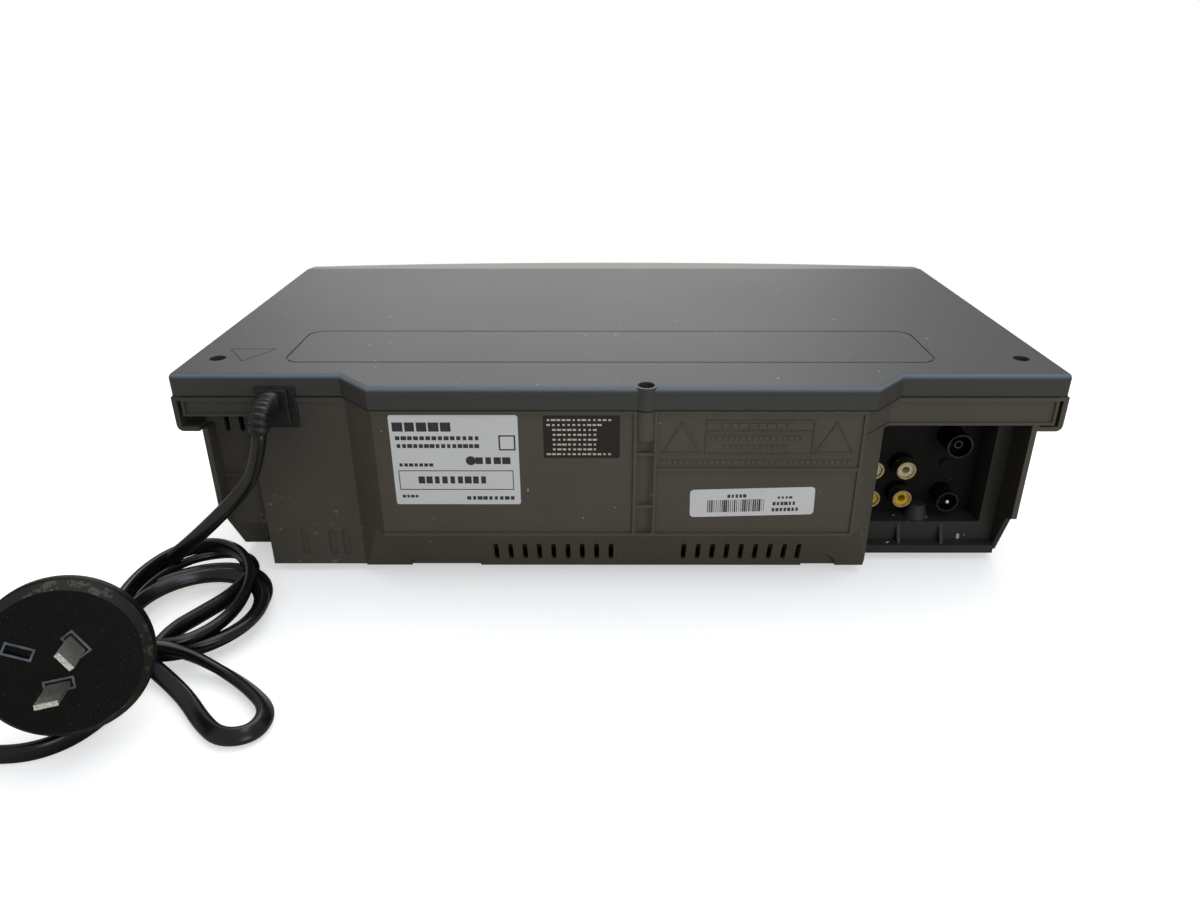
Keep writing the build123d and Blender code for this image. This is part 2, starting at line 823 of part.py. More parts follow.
def fascia_body(inset):
    reach = front_half - inset
    rear = joint_y + (inset and 1)
    with BuildPart() as body:
        with BuildSketch(Plane.XY.offset(fascia_z + inset)):
            with BuildLine():
                ThreePointArc(
                    (-reach, bow_y(reach, inset)), (0, bow_y(0, inset)), (reach, bow_y(reach, inset)),
                )
                Polyline(
                    (reach, bow_y(reach, inset)), (reach, rear), (-reach, rear), (-reach, bow_y(reach, inset)),
                )
            make_face()
        extrude(amount=height - fascia_z - 2 * inset)
        top_front = body.faces().sort_by(Axis.Z)[-1].edges().sort_by(Axis.Y)[0]
        fillet(top_front, fascia_roll - inset)
        if not inset:
            ends = body.edges().filter_by(
                lambda e: abs(e.center().X) > reach - 0.01
                and e.center().Y < joint_y - 0.5
                and e.center().Z > fascia_z + 0.5
            )
            fillet(ends, fascia_end_radius)
    return body.part


fascia_shell = fascia_body(0)
fascia_room = fascia_body(fascia_wall)
sleeve_reach = door_reach + part_gap + 0.05
door_swing = hypot(hinge_y - bow_y(0, door_depth), hinge_z - door_bottom)
sleeve_low = hinge_z - door_swing - part_gap
sleeve_high = door_top + part_gap + 0.05

with BuildPart() as sleeve:
    block(
        -sleeve_reach - sleeve_wall, sleeve_reach + sleeve_wall, front_y, sleeve_y,
        sleeve_low - sleeve_wall, sleeve_high + sleeve_wall,
    )
    add(fascia_shell, mode=Mode.INTERSECT)

window_pocket = bow_band(window_reach, window_bottom, window_top, -1, window_depth)

with BuildPart() as front_fascia:
    add(fascia_shell)
    add(fascia_room, mode=Mode.SUBTRACT)
    add(sleeve.part)
    block(-sleeve_reach, sleeve_reach, front_y - 1, sleeve_y + 1, sleeve_low, sleeve_high, mode=Mode.SUBTRACT)
    for sign in (-1, 1):
        rod_x(
            sign * (sleeve_reach - 1), sign * (sleeve_reach + sleeve_wall + 1), hinge_y, hinge_z,
            hinge_radius + running, mode=Mode.SUBTRACT,
        )
    add(window_pocket, mode=Mode.SUBTRACT)
    block(
        -window_reach + window_ledge, window_reach - window_ledge, front_y - 1, front_y + fascia_wall + 4,
        window_bottom + window_ledge, window_top - window_ledge, mode=Mode.SUBTRACT,
    )
    for x, z, w, h in button_places.values():
        with BuildSketch(front_plane(x, z, -2)):
            RectangleRounded(w + 2 * part_gap, h + 2 * part_gap, button_radius + part_gap)
        extrude(amount=-(fascia_wall + 4), mode=Mode.SUBTRACT)
    for x, z in front_jack_places:
        rod_y(x, bow_y(x) - 1, bow_y(x) + fascia_wall + 2, z, front_jack_radius + part_gap, mode=Mode.SUBTRACT)
    for x, z in board_bosses:
        rod_y(x, bow_y(x) + 1.5, front_board_y, z, 3)
    for sign in (-1, 1):
        block(
            sign * (side - wall), sign * (front_half - 1), joint_y - wall, joint_y,
            fascia_z + 0.5, skirt_z + wall,
        )
save(front_fascia.part, "front_fascia")

door_plate = bow_band(door_reach, door_bottom, door_top, door_depth, door_depth + door_thickness)

with BuildPart() as cassette_door:
    add(door_plate)
    for sign in (-1, 1):
        lug_outer = sign * door_reach
        lug_inner = sign * (door_reach - lug_width)
        block(
            lug_inner, lug_outer, bow_y(door_reach, door_depth + 1), hinge_y,
            hinge_z - lug_radius, hinge_z + lug_radius,
        )
        rod_x(lug_inner, lug_outer, hinge_y, hinge_z, lug_radius)
        rod_x(lug_outer, sign * (sleeve_reach + sleeve_wall + 1), hinge_y, hinge_z, hinge_radius)
    pin_end = sleeve_reach + sleeve_wall + spring_pin
    rod_x(-door_reach, -pin_end, hinge_y, hinge_z, hinge_radius)
save(cassette_door.part, "cassette_door")

with BuildPart() as door_spring:
    spring_start = -sleeve_reach - sleeve_wall - 0.1
    rod_x(spring_start, -pin_end + 1, hinge_y, hinge_z, spring_radius)
    rod_x(spring_start + 1, -pin_end, hinge_y, hinge_z, hinge_radius + 0.3, mode=Mode.SUBTRACT)
    for turn in range(5):
        groove_x = spring_start - 1.1 * (turn + 1)
        with Locations(Location((groove_x, hinge_y, hinge_z), (0, 90, 0))):
            Torus(spring_radius + 0.2, 0.4, mode=Mode.SUBTRACT)
save(door_spring.part, "door_spring")

window_plate = bow_band(
    window_reach - part_gap, window_bottom + part_gap, window_top - part_gap, 0.1, window_depth - running,
)
with BuildPart() as display_window:
    add(window_plate)
save(display_window.part, "display_window")

for name, (x, z, w, h) in button_places.items():
    turn = asin(x / bow_radius)
    flange_depth = fascia_wall + part_gap
    stem_depth = flange_depth + flange_thickness
    stem_y = front_plane(x, z, stem_depth).origin.Y
    with BuildPart() as button:
        with BuildSketch(front_plane(x, z, -button_proud)):
            RectangleRounded(w, h, button_radius)
        extrude(amount=-(button_proud + flange_depth))
        with BuildSketch(front_plane(x, z, flange_depth)):
            RectangleRounded(w + 2 * flange_reach, h + 2 * flange_reach, button_radius)
        extrude(amount=-flange_thickness)
        with BuildSketch(front_plane(x, z, stem_depth)):
            Rectangle(stem_width, stem_width)
        extrude(amount=-(switch_tip_y - button_travel - stem_gap - stem_y) / cos(turn))
    save(button.part, name)

with BuildPart() as front_board:
    board_back = front_board_y + front_board_thickness
    board_low = fascia_z + fascia_wall + 0.3
    block(-front_board_reach, front_board_reach, front_board_y, board_back, board_low, 39)
    for sign in (-1, 1):
        block(
            sign * front_board_step, sign * front_board_reach, front_board_y, board_back, board_low, 66,
        )
    block(-80, -56, board_back, board_back + 3, 16, 30)
save(front_board.part, "front_board")

with BuildPart() as tact_switches:
    for x, z, w, h in button_places.values():
        switch_x = x - (switch_tip_y - bow_y(x)) * tan(asin(x / bow_radius))
        block(switch_x - 3, switch_x + 3, front_board_y - switch_height, front_board_y, z - 3, z + 3)
        rod_y(switch_x, switch_tip_y, front_board_y - switch_height, z, plunger_radius)
save(tact_switches.part, "tact_switches")

with BuildPart() as display_tube:
    block(-47, 47, front_board_y - 5.5, front_board_y, 15, 36)
    rod_x(47, 50, front_board_y - 2.8, 25.5, 2)
save(display_tube.part, "display_tube")

with BuildPart() as front_jacks:
    for x, z in front_jack_places:
        block(x - 5, x + 5, front_board_y - 6, front_board_y, z - 6, z + 6)
        rod_y(x, bow_y(x) - 0.8, front_board_y - 6, z, front_jack_radius)
        rod_y(x, bow_y(x) - 1, bow_y(x) + 6, z, 1.7, mode=Mode.SUBTRACT)
save(front_jacks.part, "front_jacks")

# Main board with its chips, and what stands on it
board_top = board_z + board_thickness
board_reach = side - 7.0
power_x = side - 36.0
transformer_y = 55.0
capacitor_y = 18.0
heat_sink_y = -21.0
with BuildPart() as main_board:
    with BuildSketch(Plane.XY.offset(board_z)):
        with BuildLine():
            Polyline(
                (board_reach, joint_y + 3),
                (board_reach, end_y - corner_foot - wall - 3),
                (block_x - wall - 3, end_y - corner_foot - wall - 3),
                (block_x - wall - 3, slope_foot_y - wall - 4),
                (bay_x + wall + 2, slope_foot_y - wall - 4),
                (bay_x + wall + 2, bay_panel_y - 6),
                (-board_reach, bay_panel_y - 6),
                (-board_reach, joint_y + 3),
                close=True,
            )
        make_face()
        with Locations(*deck_seats):
            Circle(seat_radius + 0.5, mode=Mode.SUBTRACT)
    extrude(amount=board_thickness)
    for x, y, w, d, h in (
        (4 - power_x, -40, 34, 12, 4),
        (6 - power_x, -8, 22, 22, 2.5),
        (-20, 10, 12, 36, 3.5),
        (-60, 60, 20, 20, 2.5),
        (power_x - 10, -52, 30, 10, 4),
    ):
        block(x - w / 2, x + w / 2, y - d / 2, y + d / 2, board_top - 0.1, board_top + h)
save(main_board.part, "main_board")

with BuildPart() as transformer:
    block(power_x - 20, power_x + 20, transformer_y - 12, transformer_y + 12, board_top, board_top + 34)
    block(power_x - 13, power_x + 13, transformer_y - 17, transformer_y + 17, board_top + 6, board_top + 28)
save(transformer.part, "transformer")

with BuildPart() as mains_capacitor:
    post(power_x, capacitor_y, board_top, board_top + 30, 9)
    with Locations((power_x, capacitor_y, board_top + 4)):
        Torus(9.4, 0.9, mode=Mode.SUBTRACT)
save(mains_capacitor.part, "mains_capacitor")

with BuildPart() as heat_sink:
    block(power_x - 20, power_x + 20, heat_sink_y - 1, heat_sink_y + 1, board_top, board_top + 30)
    for fin in range(6):
        fin_x = power_x - 19.5 + 7.8 * fin
        block(fin_x - 0.5, fin_x + 0.5, heat_sink_y, heat_sink_y + 13, board_top, board_top + 30)
save(heat_sink.part, "heat_sink")

# Socket bay: shielded can with the aerial sockets, the phono jacks and the panel
can_rear = bay_panel_y - wall - 0.3
with BuildPart() as modulator_can:
    block(aerial_x - 12.5, aerial_x + 11.5, can_rear - 37.5, can_rear, board_top, aerial_in_z + 8)
    for y in (can_rear - 29.5, can_rear - 19.5, can_rear - 9.5):
        block(aerial_x - 6, aerial_x + 6, y - 1, y + 1, aerial_in_z + 7, aerial_in_z + 9, mode=Mode.SUBTRACT)
save(modulator_can.part, "modulator_can")

with BuildPart() as aerial_socket:
    rod_y(aerial_x, can_rear, jack_tip_y + 3.7, aerial_in_z, aerial_in_radius)
    rod_y(aerial_x, jack_tip_y - 6.3, jack_tip_y + 4, aerial_in_z, aerial_in_bore, mode=Mode.SUBTRACT)
    rod_y(aerial_x, jack_tip_y - 7, jack_tip_y + 1.5, aerial_in_z, 1.9)
    rod_y(aerial_x, jack_tip_y - 5, jack_tip_y + 4, aerial_in_z, 1.2, mode=Mode.SUBTRACT)
save(aerial_socket.part, "aerial_socket")

with BuildPart() as rf_out_plug:
    rod_y(aerial_x, can_rear, jack_tip_y, aerial_out_z, aerial_out_radius - 0.2)
    rod_y(aerial_x, jack_tip_y - 7.5, jack_tip_y + 1.3, aerial_out_z, aerial_out_radius)
    rod_y(aerial_x, bay_panel_y + 3, jack_tip_y + 2, aerial_out_z, aerial_out_radius - 0.6, mode=Mode.SUBTRACT)
    rod_y(aerial_x, bay_panel_y + 2, jack_tip_y + 1.3, aerial_out_z, 1.15)
save(rf_out_plug.part, "rf_out_plug")

jack_block_left = jack_x[0] - collar_radius - 0.9
jack_block_right = bay_x - 0.7
jack_rear = bay_panel_y - 18
with BuildPart() as jack_block:
    block(jack_block_left, jack_block_right, jack_rear, bay_panel_y - 0.1, jack_z[1] - 6, jack_z[0] + 6)
    block(jack_block_left, jack_block_right, jack_rear, bay_panel_y - 6.2, board_top, jack_z[1] - 5)
    for x in jack_x:
        for z in jack_z:
            rod_y(x, bay_panel_y - 1, jack_tip_y - 4, z, collar_radius)
            rod_y(x, bay_panel_y - 8, jack_tip_y, z, jack_root_radius + running, mode=Mode.SUBTRACT)
save(jack_block.part, "jack_block")

with BuildPart() as jack_shells:
    for x in jack_x:
        for z in jack_z:
            rod_y(x, bay_panel_y - 8, jack_tip_y - 3, z, jack_root_radius)
            rod_y(x, jack_tip_y - 4, jack_tip_y, z, jack_shell_radius)
            rod_y(x, bay_panel_y - 9, jack_tip_y + 1, z, jack_bore, mode=Mode.SUBTRACT)
save(jack_shells.part, "jack_shells")

for name, z in (("audio_inserts", jack_z[0]), ("video_inserts", jack_z[1])):
    with BuildPart() as inserts:
        for x in jack_x:
            rod_y(x, bay_panel_y - 8, jack_tip_y - 1, z, jack_bore - running)
            rod_y(x, bay_panel_y - 3, jack_tip_y, z, jack_hole, mode=Mode.SUBTRACT)
    save(inserts.part, name)

with BuildPart() as terminal_panel:
    block(
        bay_open_right + 0.2, bay_x - 0.2, bay_panel_y, bay_panel_y + panel_thickness,
        bay_floor + 0.2, bay_rim_z - 1.2,
    )
    rod_y(aerial_x, bay_panel_y, bay_panel_y + panel_thickness + 1.2, 40.7, 2.2)
    for x in jack_x:
        for z in jack_z:
            rod_y(x, bay_panel_y - 1, bay_panel_y + 4, z, collar_radius + part_gap, mode=Mode.SUBTRACT)
    rod_y(
        aerial_x, bay_panel_y - 1, bay_panel_y + 4, aerial_in_z,
        aerial_in_radius + part_gap, mode=Mode.SUBTRACT,
    )
    rod_y(
        aerial_x, bay_panel_y - 1, bay_panel_y + 4, aerial_out_z,
        aerial_out_radius + part_gap, mode=Mode.SUBTRACT,
    )
save(terminal_panel.part, "terminal_panel")

# Tape deck: base plate with bent-up sides, shafts and slots
pinch_turn = radians(pinch_rest_angle)
pinch_tip = (pinch_x + pinch_arm_length * cos(pinch_turn), pinch_y + pinch_arm_length * sin(pinch_turn))
idler_place = (clutch_x, clutch_y - idler_arm_length)
with BuildPart() as deck_chassis:
    block(-deck_half, deck_half, deck_front, deck_rear, deck_z, plate_top)
    for sign in (-1, 1):
        block(
            sign * (deck_half - deck_wall), sign * deck_half, deck_front, deck_wall_rear,
            deck_z, deck_wall_top,
        )
        with BuildSketch(Plane.YZ.offset(sign * (deck_half - deck_wall - 1))):
            with Locations(((slide_pin_y[0] + slide_pin_y[1] + slide_travel) / 2, slide_pin_z)):
                SlotOverall(
                    slide_pin_y[1] - slide_pin_y[0] + slide_travel + 2 * pin_radius + 0.4,
                    2 * pin_radius + 0.2,
                )
        extrude(amount=sign * (deck_wall + 2), mode=Mode.SUBTRACT)
        with BuildSketch(Plane.XY.offset(deck_z)):
            mid = radians(guide_start_angle + guide_swing / 2)
            ends = [radians(guide_start_angle + d) for d in (0, guide_swing)]
            for turn, next_turn in zip(
                [ends[0] + (ends[1] - ends[0]) * n / 12 for n in range(12)],
                [ends[0] + (ends[1] - ends[0]) * n / 12 for n in range(1, 13)],
            ):
                a = (sign * (guide_radius * cos(turn) - guide_center_x), guide_center_y + guide_radius * sin(turn))
                b = (
                    sign * (guide_radius * cos(next_turn) - guide_center_x),
                    guide_center_y + guide_radius * sin(next_turn),
                )
                with Locations(((a[0] + b[0]) / 2, (a[1] + b[1]) / 2)):
                    SlotCenterToCenter(
                        hypot(b[0] - a[0], b[1] - a[1]), 2 * guide_boss + 0.6,
                        rotation=degrees(atan2(b[1] - a[1], b[0] - a[0])),
                    )
        extrude(amount=deck_plate, mode=Mode.SUBTRACT)
    for x, y in reel_places:
        post(x, y, plate_top, reel_z - 0.1, 4)
        post(x, y, plate_top, reel_z + 20, shaft_radius)
    post(capstan_x, capstan_y, plate_top, reel_z + 2.6, 4)
    post(capstan_x, capstan_y, deck_z - 1, plate_top + 9, shaft_radius + running, mode=Mode.SUBTRACT)
    post(clutch_x, clutch_y, deck_z - 1, plate_top + 1, clutch_radius + running, mode=Mode.SUBTRACT)
    for x, y, top in ((pinch_x, pinch_y, 27), (cam_x, cam_y, cam_z + 8), (tension_x, tension_y, 26)):
        post(x, y, plate_top, plate_top + 1.3, 4)
        post(x, y, plate_top, top, pivot_radius)
    block(cam_x + 16, cam_x + 38, worm_y - 5, worm_y + 5, plate_top, worm_z - motor_radius + 0.4)
    block(cam_x - 13, cam_x - 10.5, worm_y - 4, worm_y + 4, plate_top, worm_z + 4)
    rod_x(cam_x - 14, cam_x - 9, worm_y, worm_z, 1 + running, mode=Mode.SUBTRACT)
save(deck_chassis.part, "deck_chassis")

tilt = radians(drum_tilt)
drum_plane = Plane(
    origin=(*drum_center, plate_top + 3.5),
    x_dir=(1, 0, 0),
    z_dir=(0, sin(tilt), cos(tilt)),
)
with BuildPart() as lower_drum:
    with BuildSketch(drum_plane):
        Circle(drum_radius)
    extrude(amount=lower_drum_height)
    post(*drum_center, plate_top, plate_top + 5, 20)
    with BuildSketch(drum_plane.offset(5)):
        Circle(3 + running)
    extrude(amount=lower_drum_height, mode=Mode.SUBTRACT)
save(lower_drum.part, "lower_drum")

upper_start = lower_drum_height + 0.3
with BuildPart() as upper_drum:
    with BuildSketch(drum_plane.offset(upper_start)):
        Circle(drum_radius)
    extrude(amount=upper_drum_height)
    chamfer(upper_drum.faces().sort_by(Axis.Z)[-1].edges(), 1)
    with BuildSketch(drum_plane.offset(6)):
        Circle(3)
    extrude(amount=upper_start - 6 + 1)
save(upper_drum.part, "upper_drum")

with BuildPart() as drum_motor:
    with BuildSketch(drum_plane.offset(upper_start + upper_drum_height)):
        Circle(20)
    extrude(amount=5)
    with BuildSketch(drum_plane.offset(upper_start + upper_drum_height + 4)):
        with PolarLocations(12, 6):
            Circle(3)
    extrude(amount=2, mode=Mode.SUBTRACT)
save(drum_motor.part, "drum_motor")

for name, (x, y) in zip(("supply_reel", "takeup_reel"), reel_places):
    with BuildPart() as reel:
        post(x, y, reel_z, reel_z + 5, reel_radius)
        post(x, y, reel_z + 5, reel_z + 21, 6)
        with Locations((x, y, reel_z + 12)):
            with PolarLocations(6.4, 3):
                Box(2.4, 1.6, 14)
        post(x, y, reel_z - 1, reel_z + 22, shaft_radius + running, mode=Mode.SUBTRACT)
        with BuildSketch(Plane.XY.offset(reel_z + 5)):
            with Locations((x, y)):
                with PolarLocations(12, 6):
                    Circle(2.5)
        extrude(amount=-1, mode=Mode.SUBTRACT)
    save(reel.part, name)

with BuildPart() as capstan:
    post(capstan_x, capstan_y, belt_z - 2, plate_top + 28, shaft_radius)
    post(capstan_x, capstan_y, belt_z - 1.6, belt_z + 1.6, flywheel_radius)
    with BuildSketch(Plane.XY.offset(belt_z - belt_height / 2 - 0.1)):
        with Locations((capstan_x, capstan_y)):
            Circle(flywheel_radius + 1)
            Circle(flywheel_radius - 1, mode=Mode.SUBTRACT)
    extrude(amount=belt_height + 0.2, mode=Mode.SUBTRACT)
save(capstan.part, "capstan")

with BuildPart() as clutch_pulley:
    post(clutch_x, clutch_y, belt_z - 1.6, belt_z + 1.6, clutch_pulley_radius)
    with BuildSketch(Plane.XY.offset(belt_z - belt_height / 2 - 0.1)):
        with Locations((clutch_x, clutch_y)):
            Circle(clutch_pulley_radius + 1)
            Circle(clutch_pulley_radius - 1, mode=Mode.SUBTRACT)
    extrude(amount=belt_height + 0.2, mode=Mode.SUBTRACT)
    post(clutch_x, clutch_y, belt_z, reel_z + 3.2, clutch_radius)
    post(clutch_x, clutch_y, belt_z, reel_z + 5.6, 3)
save(clutch_pulley.part, "clutch_pulley")

belt_ends = (
    (capstan_x, capstan_y), flywheel_radius - 1 + running, (clutch_x, clutch_y), clutch_pulley_radius - 1 + running,
)
belt_outside = link(
    belt_ends[0], belt_ends[1] + belt_thickness, belt_ends[2], belt_ends[3] + belt_thickness,
    belt_z - belt_height / 2, belt_z + belt_height / 2,
)
belt_inside = link(*belt_ends, belt_z - belt_height, belt_z + belt_height)
with BuildPart() as drive_belt:
    add(belt_outside)
    add(belt_inside, mode=Mode.SUBTRACT)
save(drive_belt.part, "drive_belt")

idler_link = link((clutch_x, clutch_y), 5, idler_place, 3.5, reel_z + 3.5, reel_z + 5)
with BuildPart() as idler_arm:
    add(idler_link)
    post(clutch_x, clutch_y, reel_z, reel_z + 6, 3 + running, mode=Mode.SUBTRACT)
    post(*idler_place, plate_top + 0.4, reel_z + 4, shaft_radius)
save(idler_arm.part, "idler_arm")

with BuildPart() as idler_wheel:
    post(*idler_place, plate_top + 0.7, reel_z + 3.2, idler_radius)
    post(*idler_place, plate_top, reel_z + 4, shaft_radius + running, mode=Mode.SUBTRACT)
save(idler_wheel.part, "idler_wheel")

pinch_link = link((pinch_x, pinch_y), 4.5, pinch_tip, 3.5, reel_z, reel_z + 3)
with BuildPart() as pinch_arm:
    add(pinch_link)
    post(pinch_x, pinch_y, reel_z - 1, reel_z + 4, pivot_radius + running, mode=Mode.SUBTRACT)
    post(*pinch_tip, reel_z + 2, reel_z + 24, shaft_radius)
save(pinch_arm.part, "pinch_arm")

with BuildPart() as pinch_roller:
    post(*pinch_tip, reel_z + 3.3, reel_z + 22, pinch_radius)
    post(*pinch_tip, reel_z, reel_z + 25, shaft_radius + running, mode=Mode.SUBTRACT)
save(pinch_roller.part, "pinch_roller")

for name, sign in (("supply_guide", -1), ("takeup_guide", 1)):
    guide_turn = radians(guide_start_angle)
    guide_x = sign * (guide_radius * cos(guide_turn) - guide_center_x)
    guide_y = guide_center_y + guide_radius * sin(guide_turn)
    with BuildPart() as guide:
        post(guide_x, guide_y, plate_top + 0.2, plate_top + 3, 8)
        post(guide_x, guide_y, deck_z - 1, plate_top + 1, guide_boss)
        post(guide_x, guide_y, plate_top + 3, plate_top + 23, 3)
        post(guide_x, guide_y, plate_top + 5, plate_top + 7, 3.8)
        post(guide_x, guide_y, plate_top + 20, plate_top + 22, 3.8)
    save(guide.part, name)

with BuildPart() as cam_gear:
    post(cam_x, cam_y, cam_z, cam_z + 6, cam_radius)
    post(cam_x, cam_y, plate_top + 1.4, cam_z + 7, 6)
    with BuildSketch(Plane.XY.offset(cam_z)):
        with Locations((cam_x, cam_y)):
            with PolarLocations(cam_radius, 24):
                Circle(0.8)
    extrude(amount=6, mode=Mode.SUBTRACT)
    with BuildSketch(Plane.XY.offset(cam_z + 6)):
        with Locations((cam_x + 3, cam_y)):
            Circle(15)
            Circle(12.5, mode=Mode.SUBTRACT)
    extrude(amount=-3, mode=Mode.SUBTRACT)
    post(cam_x, cam_y, plate_top, cam_z + 9, pivot_radius + running, mode=Mode.SUBTRACT)
save(cam_gear.part, "cam_gear")

with BuildPart() as loading_motor:
    rod_x(cam_x + 14, cam_x + 41, worm_y, worm_z, motor_radius)
    block(
        cam_x + 13, cam_x + 42, worm_y - 9, worm_y + 9,
        worm_z - 9, worm_z - motor_radius + 0.4, mode=Mode.SUBTRACT,
    )
    rod_x(cam_x + 13, cam_x + 26, worm_y, worm_z, 1 + running, mode=Mode.SUBTRACT)
save(loading_motor.part, "loading_motor")

with BuildPart() as loading_worm:
    rod_x(cam_x - 8, cam_x + 9.5, worm_y, worm_z, worm_radius)
    rod_x(cam_x - 12.5, cam_x + 25, worm_y, worm_z, 1)
    for turn in range(6):
        with Locations(Location((cam_x - 6.5 + 2.6 * turn, worm_y, worm_z), (0, 90, 0))):
            Torus(worm_radius + 0.4, 0.9, mode=Mode.SUBTRACT)
save(loading_worm.part, "loading_worm")

with BuildPart() as head_stack:
    block(55, 76, 62, 80, plate_top, plate_top + 2.5)
    block(56, 68, 62, 70, plate_top + 2, plate_top + 20)
    post(72, 76, plate_top + 2, plate_top + 6, 2.5)
save(head_stack.part, "head_stack")

tension_link = link((tension_x, tension_y), 4, tension_tip, 3, reel_z, reel_z + 2)
with BuildPart() as tension_arm:
    add(tension_link)
    post(tension_x, tension_y, reel_z - 1, reel_z + 3, pivot_radius + running, mode=Mode.SUBTRACT)
    post(*tension_tip, reel_z + 1, reel_z + 22, 2)
save(tension_arm.part, "tension_arm")

# Cassette holder and its slide
holder_low = holder_floor - holder_plate
with BuildPart() as cassette_holder:
    for sign in (-1, 1):
        block(
            sign * holder_inside, sign * (holder_inside + holder_plate), -64, -34, holder_low, holder_top,
        )
        block(sign * 70, sign * (holder_inside + holder_plate), -88, -34, holder_low, holder_floor)
        for y in holder_pin_y:
            rod_x(
                sign * (holder_inside + 0.5), sign * (slide_inside + holder_plate - 0.2), y, holder_pin_z,
                pin_radius,
            )
    block(
        -holder_inside - holder_plate, holder_inside + holder_plate, -62, -34,
        holder_top - holder_plate, holder_top,
    )
    with BuildSketch(Plane.XY.offset(holder_top)):
        with Locations((-40, -48), (40, -48)):
            RectangleRounded(50, 16, 3)
    extrude(amount=-holder_plate, mode=Mode.SUBTRACT)
save(cassette_holder.part, "cassette_holder")

with BuildPart() as holder_slider:
    slider_top = holder_top + 3.5
    for sign in (-1, 1):
        block(sign * slide_inside, sign * (slide_inside + holder_plate), -66, -30, 46, slider_top)
        with BuildSketch(Plane.YZ.offset(sign * (slide_inside - 1))):
            with Locations(*[(y, holder_pin_z - holder_drop / 2) for y in holder_pin_y]):
                SlotOverall(holder_drop + 2 * pin_radius + 0.4, 2 * pin_radius + 0.2, rotation=90)
        extrude(amount=sign * (holder_plate + 2), mode=Mode.SUBTRACT)
        for y in slide_pin_y:
            rod_x(
                sign * (slide_inside + 0.6), sign * (deck_half - 0.2), y, slide_pin_z, pin_radius,
            )
    block(
        -slide_inside - holder_plate, slide_inside + holder_plate, -56, -48,
        slider_top - holder_plate, slider_top,
    )
save(holder_slider.part, "holder_slider")

# Grommet and ribbed strain relief of the mains lead
relief_line = FilletPolyline(*relief_path, radius=8)
with BuildPart() as strain_relief:
    grommet_low = grommet_bottom + part_gap
    grommet_high = grommet_top - part_gap
    grommet_half = grommet_width / 2 - part_gap
    block(
        grommet_x - grommet_half, grommet_x + grommet_half, end_y - wall, end_y + 2.6, grommet_low, grommet_high,
    )
    block(
        grommet_x - grommet_half - 1.5, grommet_x + grommet_half + 1.5, end_y - wall - 1.6, end_y - wall,
        grommet_low - 1.5, grommet_high,
    )
    with BuildSketch(Plane(origin=relief_line @ 0, z_dir=relief_line % 0)):
        Circle(relief_radius)
    sweep(path=relief_line)
    for place in (0.3, 0.45, 0.6, 0.75, 0.9):
        with BuildSketch(Plane(origin=relief_line @ place, z_dir=relief_line % place)):
            Circle(relief_rib_radius)
        extrude(amount=0.7, both=True)
save(strain_relief.part, "strain_relief")


def lead_tube(route, name):
    """A stretch of the lead: straight runs with arcs as large as the runs allow."""
    radii = []
    points = [Vector(*p) for p in route]
    for a, b, c in zip(points, points[1:], points[2:]):
        turn = radians((b - a).get_angle(c - b))
        radii.append(0.45 * min((b - a).length, (c - b).length) / tan(turn / 2))
    path = FilletPolyline(*route, radius=radii)
    with BuildPart() as tube:
        with BuildSketch(Plane(origin=path @ 0, z_dir=path % 0)):
            Circle(lead_diameter / 2)
        sweep(path=path)
    share = tube.part.volume / (path.length * pi * (lead_diameter / 2) ** 2)
    print(name, "length", round(path.length), "radii", [round(r) for r in radii], "volume share", round(share, 3))
    return tube.part


exit_tube = lead_tube(lead_route, "lead")
with BuildPart() as mains_lead:
    add(exit_tube)
save(mains_lead.part, "mains_lead")

with BuildPart() as lead_hank:
    with BuildSketch(Plane.XY.offset(0.3)):
        with Locations(hank_center):
            Ellipse(*hank_outer)
            Ellipse(*hank_inner, mode=Mode.SUBTRACT)
    extrude(amount=hank_height - 0.3)
    fillet(lead_hank.edges().group_by(Axis.Z)[-1], 4)
save(lead_hank.part, "lead_hank")

loop_tube = lead_tube(loop_route, "loop")
tail_tube = lead_tube(tail_route, "tail")
with BuildPart() as lead_tail:
    add([loop_tube, tail_tube])
save(lead_tail.part, "lead_tail")

plug_plane = Plane(origin=plug_center, x_dir=plug_slot_way, z_dir=plug_facing)
pattern_plane = Plane(
    origin=plug_plane.origin + plug_plane.x_dir * pattern_offset, x_dir=plug_plane.x_dir, z_dir=plug_plane.z_dir,
)
cord_way = Vector(*tail_route[-2]) - Vector(*tail_route[-1])
with BuildPart() as mains_plug:
    with BuildSketch(plug_plane):
        Circle(plug_face_radius)
    with BuildSketch(plug_plane.offset(-plug_bevel)):
        Circle(plug_radius)
    loft()
    with BuildSketch(plug_plane.offset(-plug_bevel)):
        Circle(plug_radius)
    extrude(amount=-plug_rim)
    with BuildSketch(plug_plane.offset(-plug_bevel - plug_rim)):
        Circle(plug_radius - 4)
    with BuildSketch(plug_plane.offset(-plug_bevel - plug_rim - plug_back)):
        Circle(plug_radius - plug_taper)
    loft()
    with BuildSketch(pattern_plane):
        with PolarLocations(blade_circle, 2, start_angle=120, angular_range=240):
            Rectangle(blade_thickness + 2 * slot_margin, blade_width + 2 * slot_margin)
        with Locations((earth_reach, 0)):
            Rectangle(blade_width + 2 * slot_margin, blade_thickness + 2 * slot_margin)
    extrude(amount=-slot_depth, mode=Mode.SUBTRACT)
    with BuildSketch(Plane(origin=Vector(*tail_route[-1]) - cord_way.normalized() * 12, z_dir=cord_way)):
        Circle(lead_diameter / 2 + 1.8)
    extrude(amount=18)
save(mains_plug.part, "mains_plug")

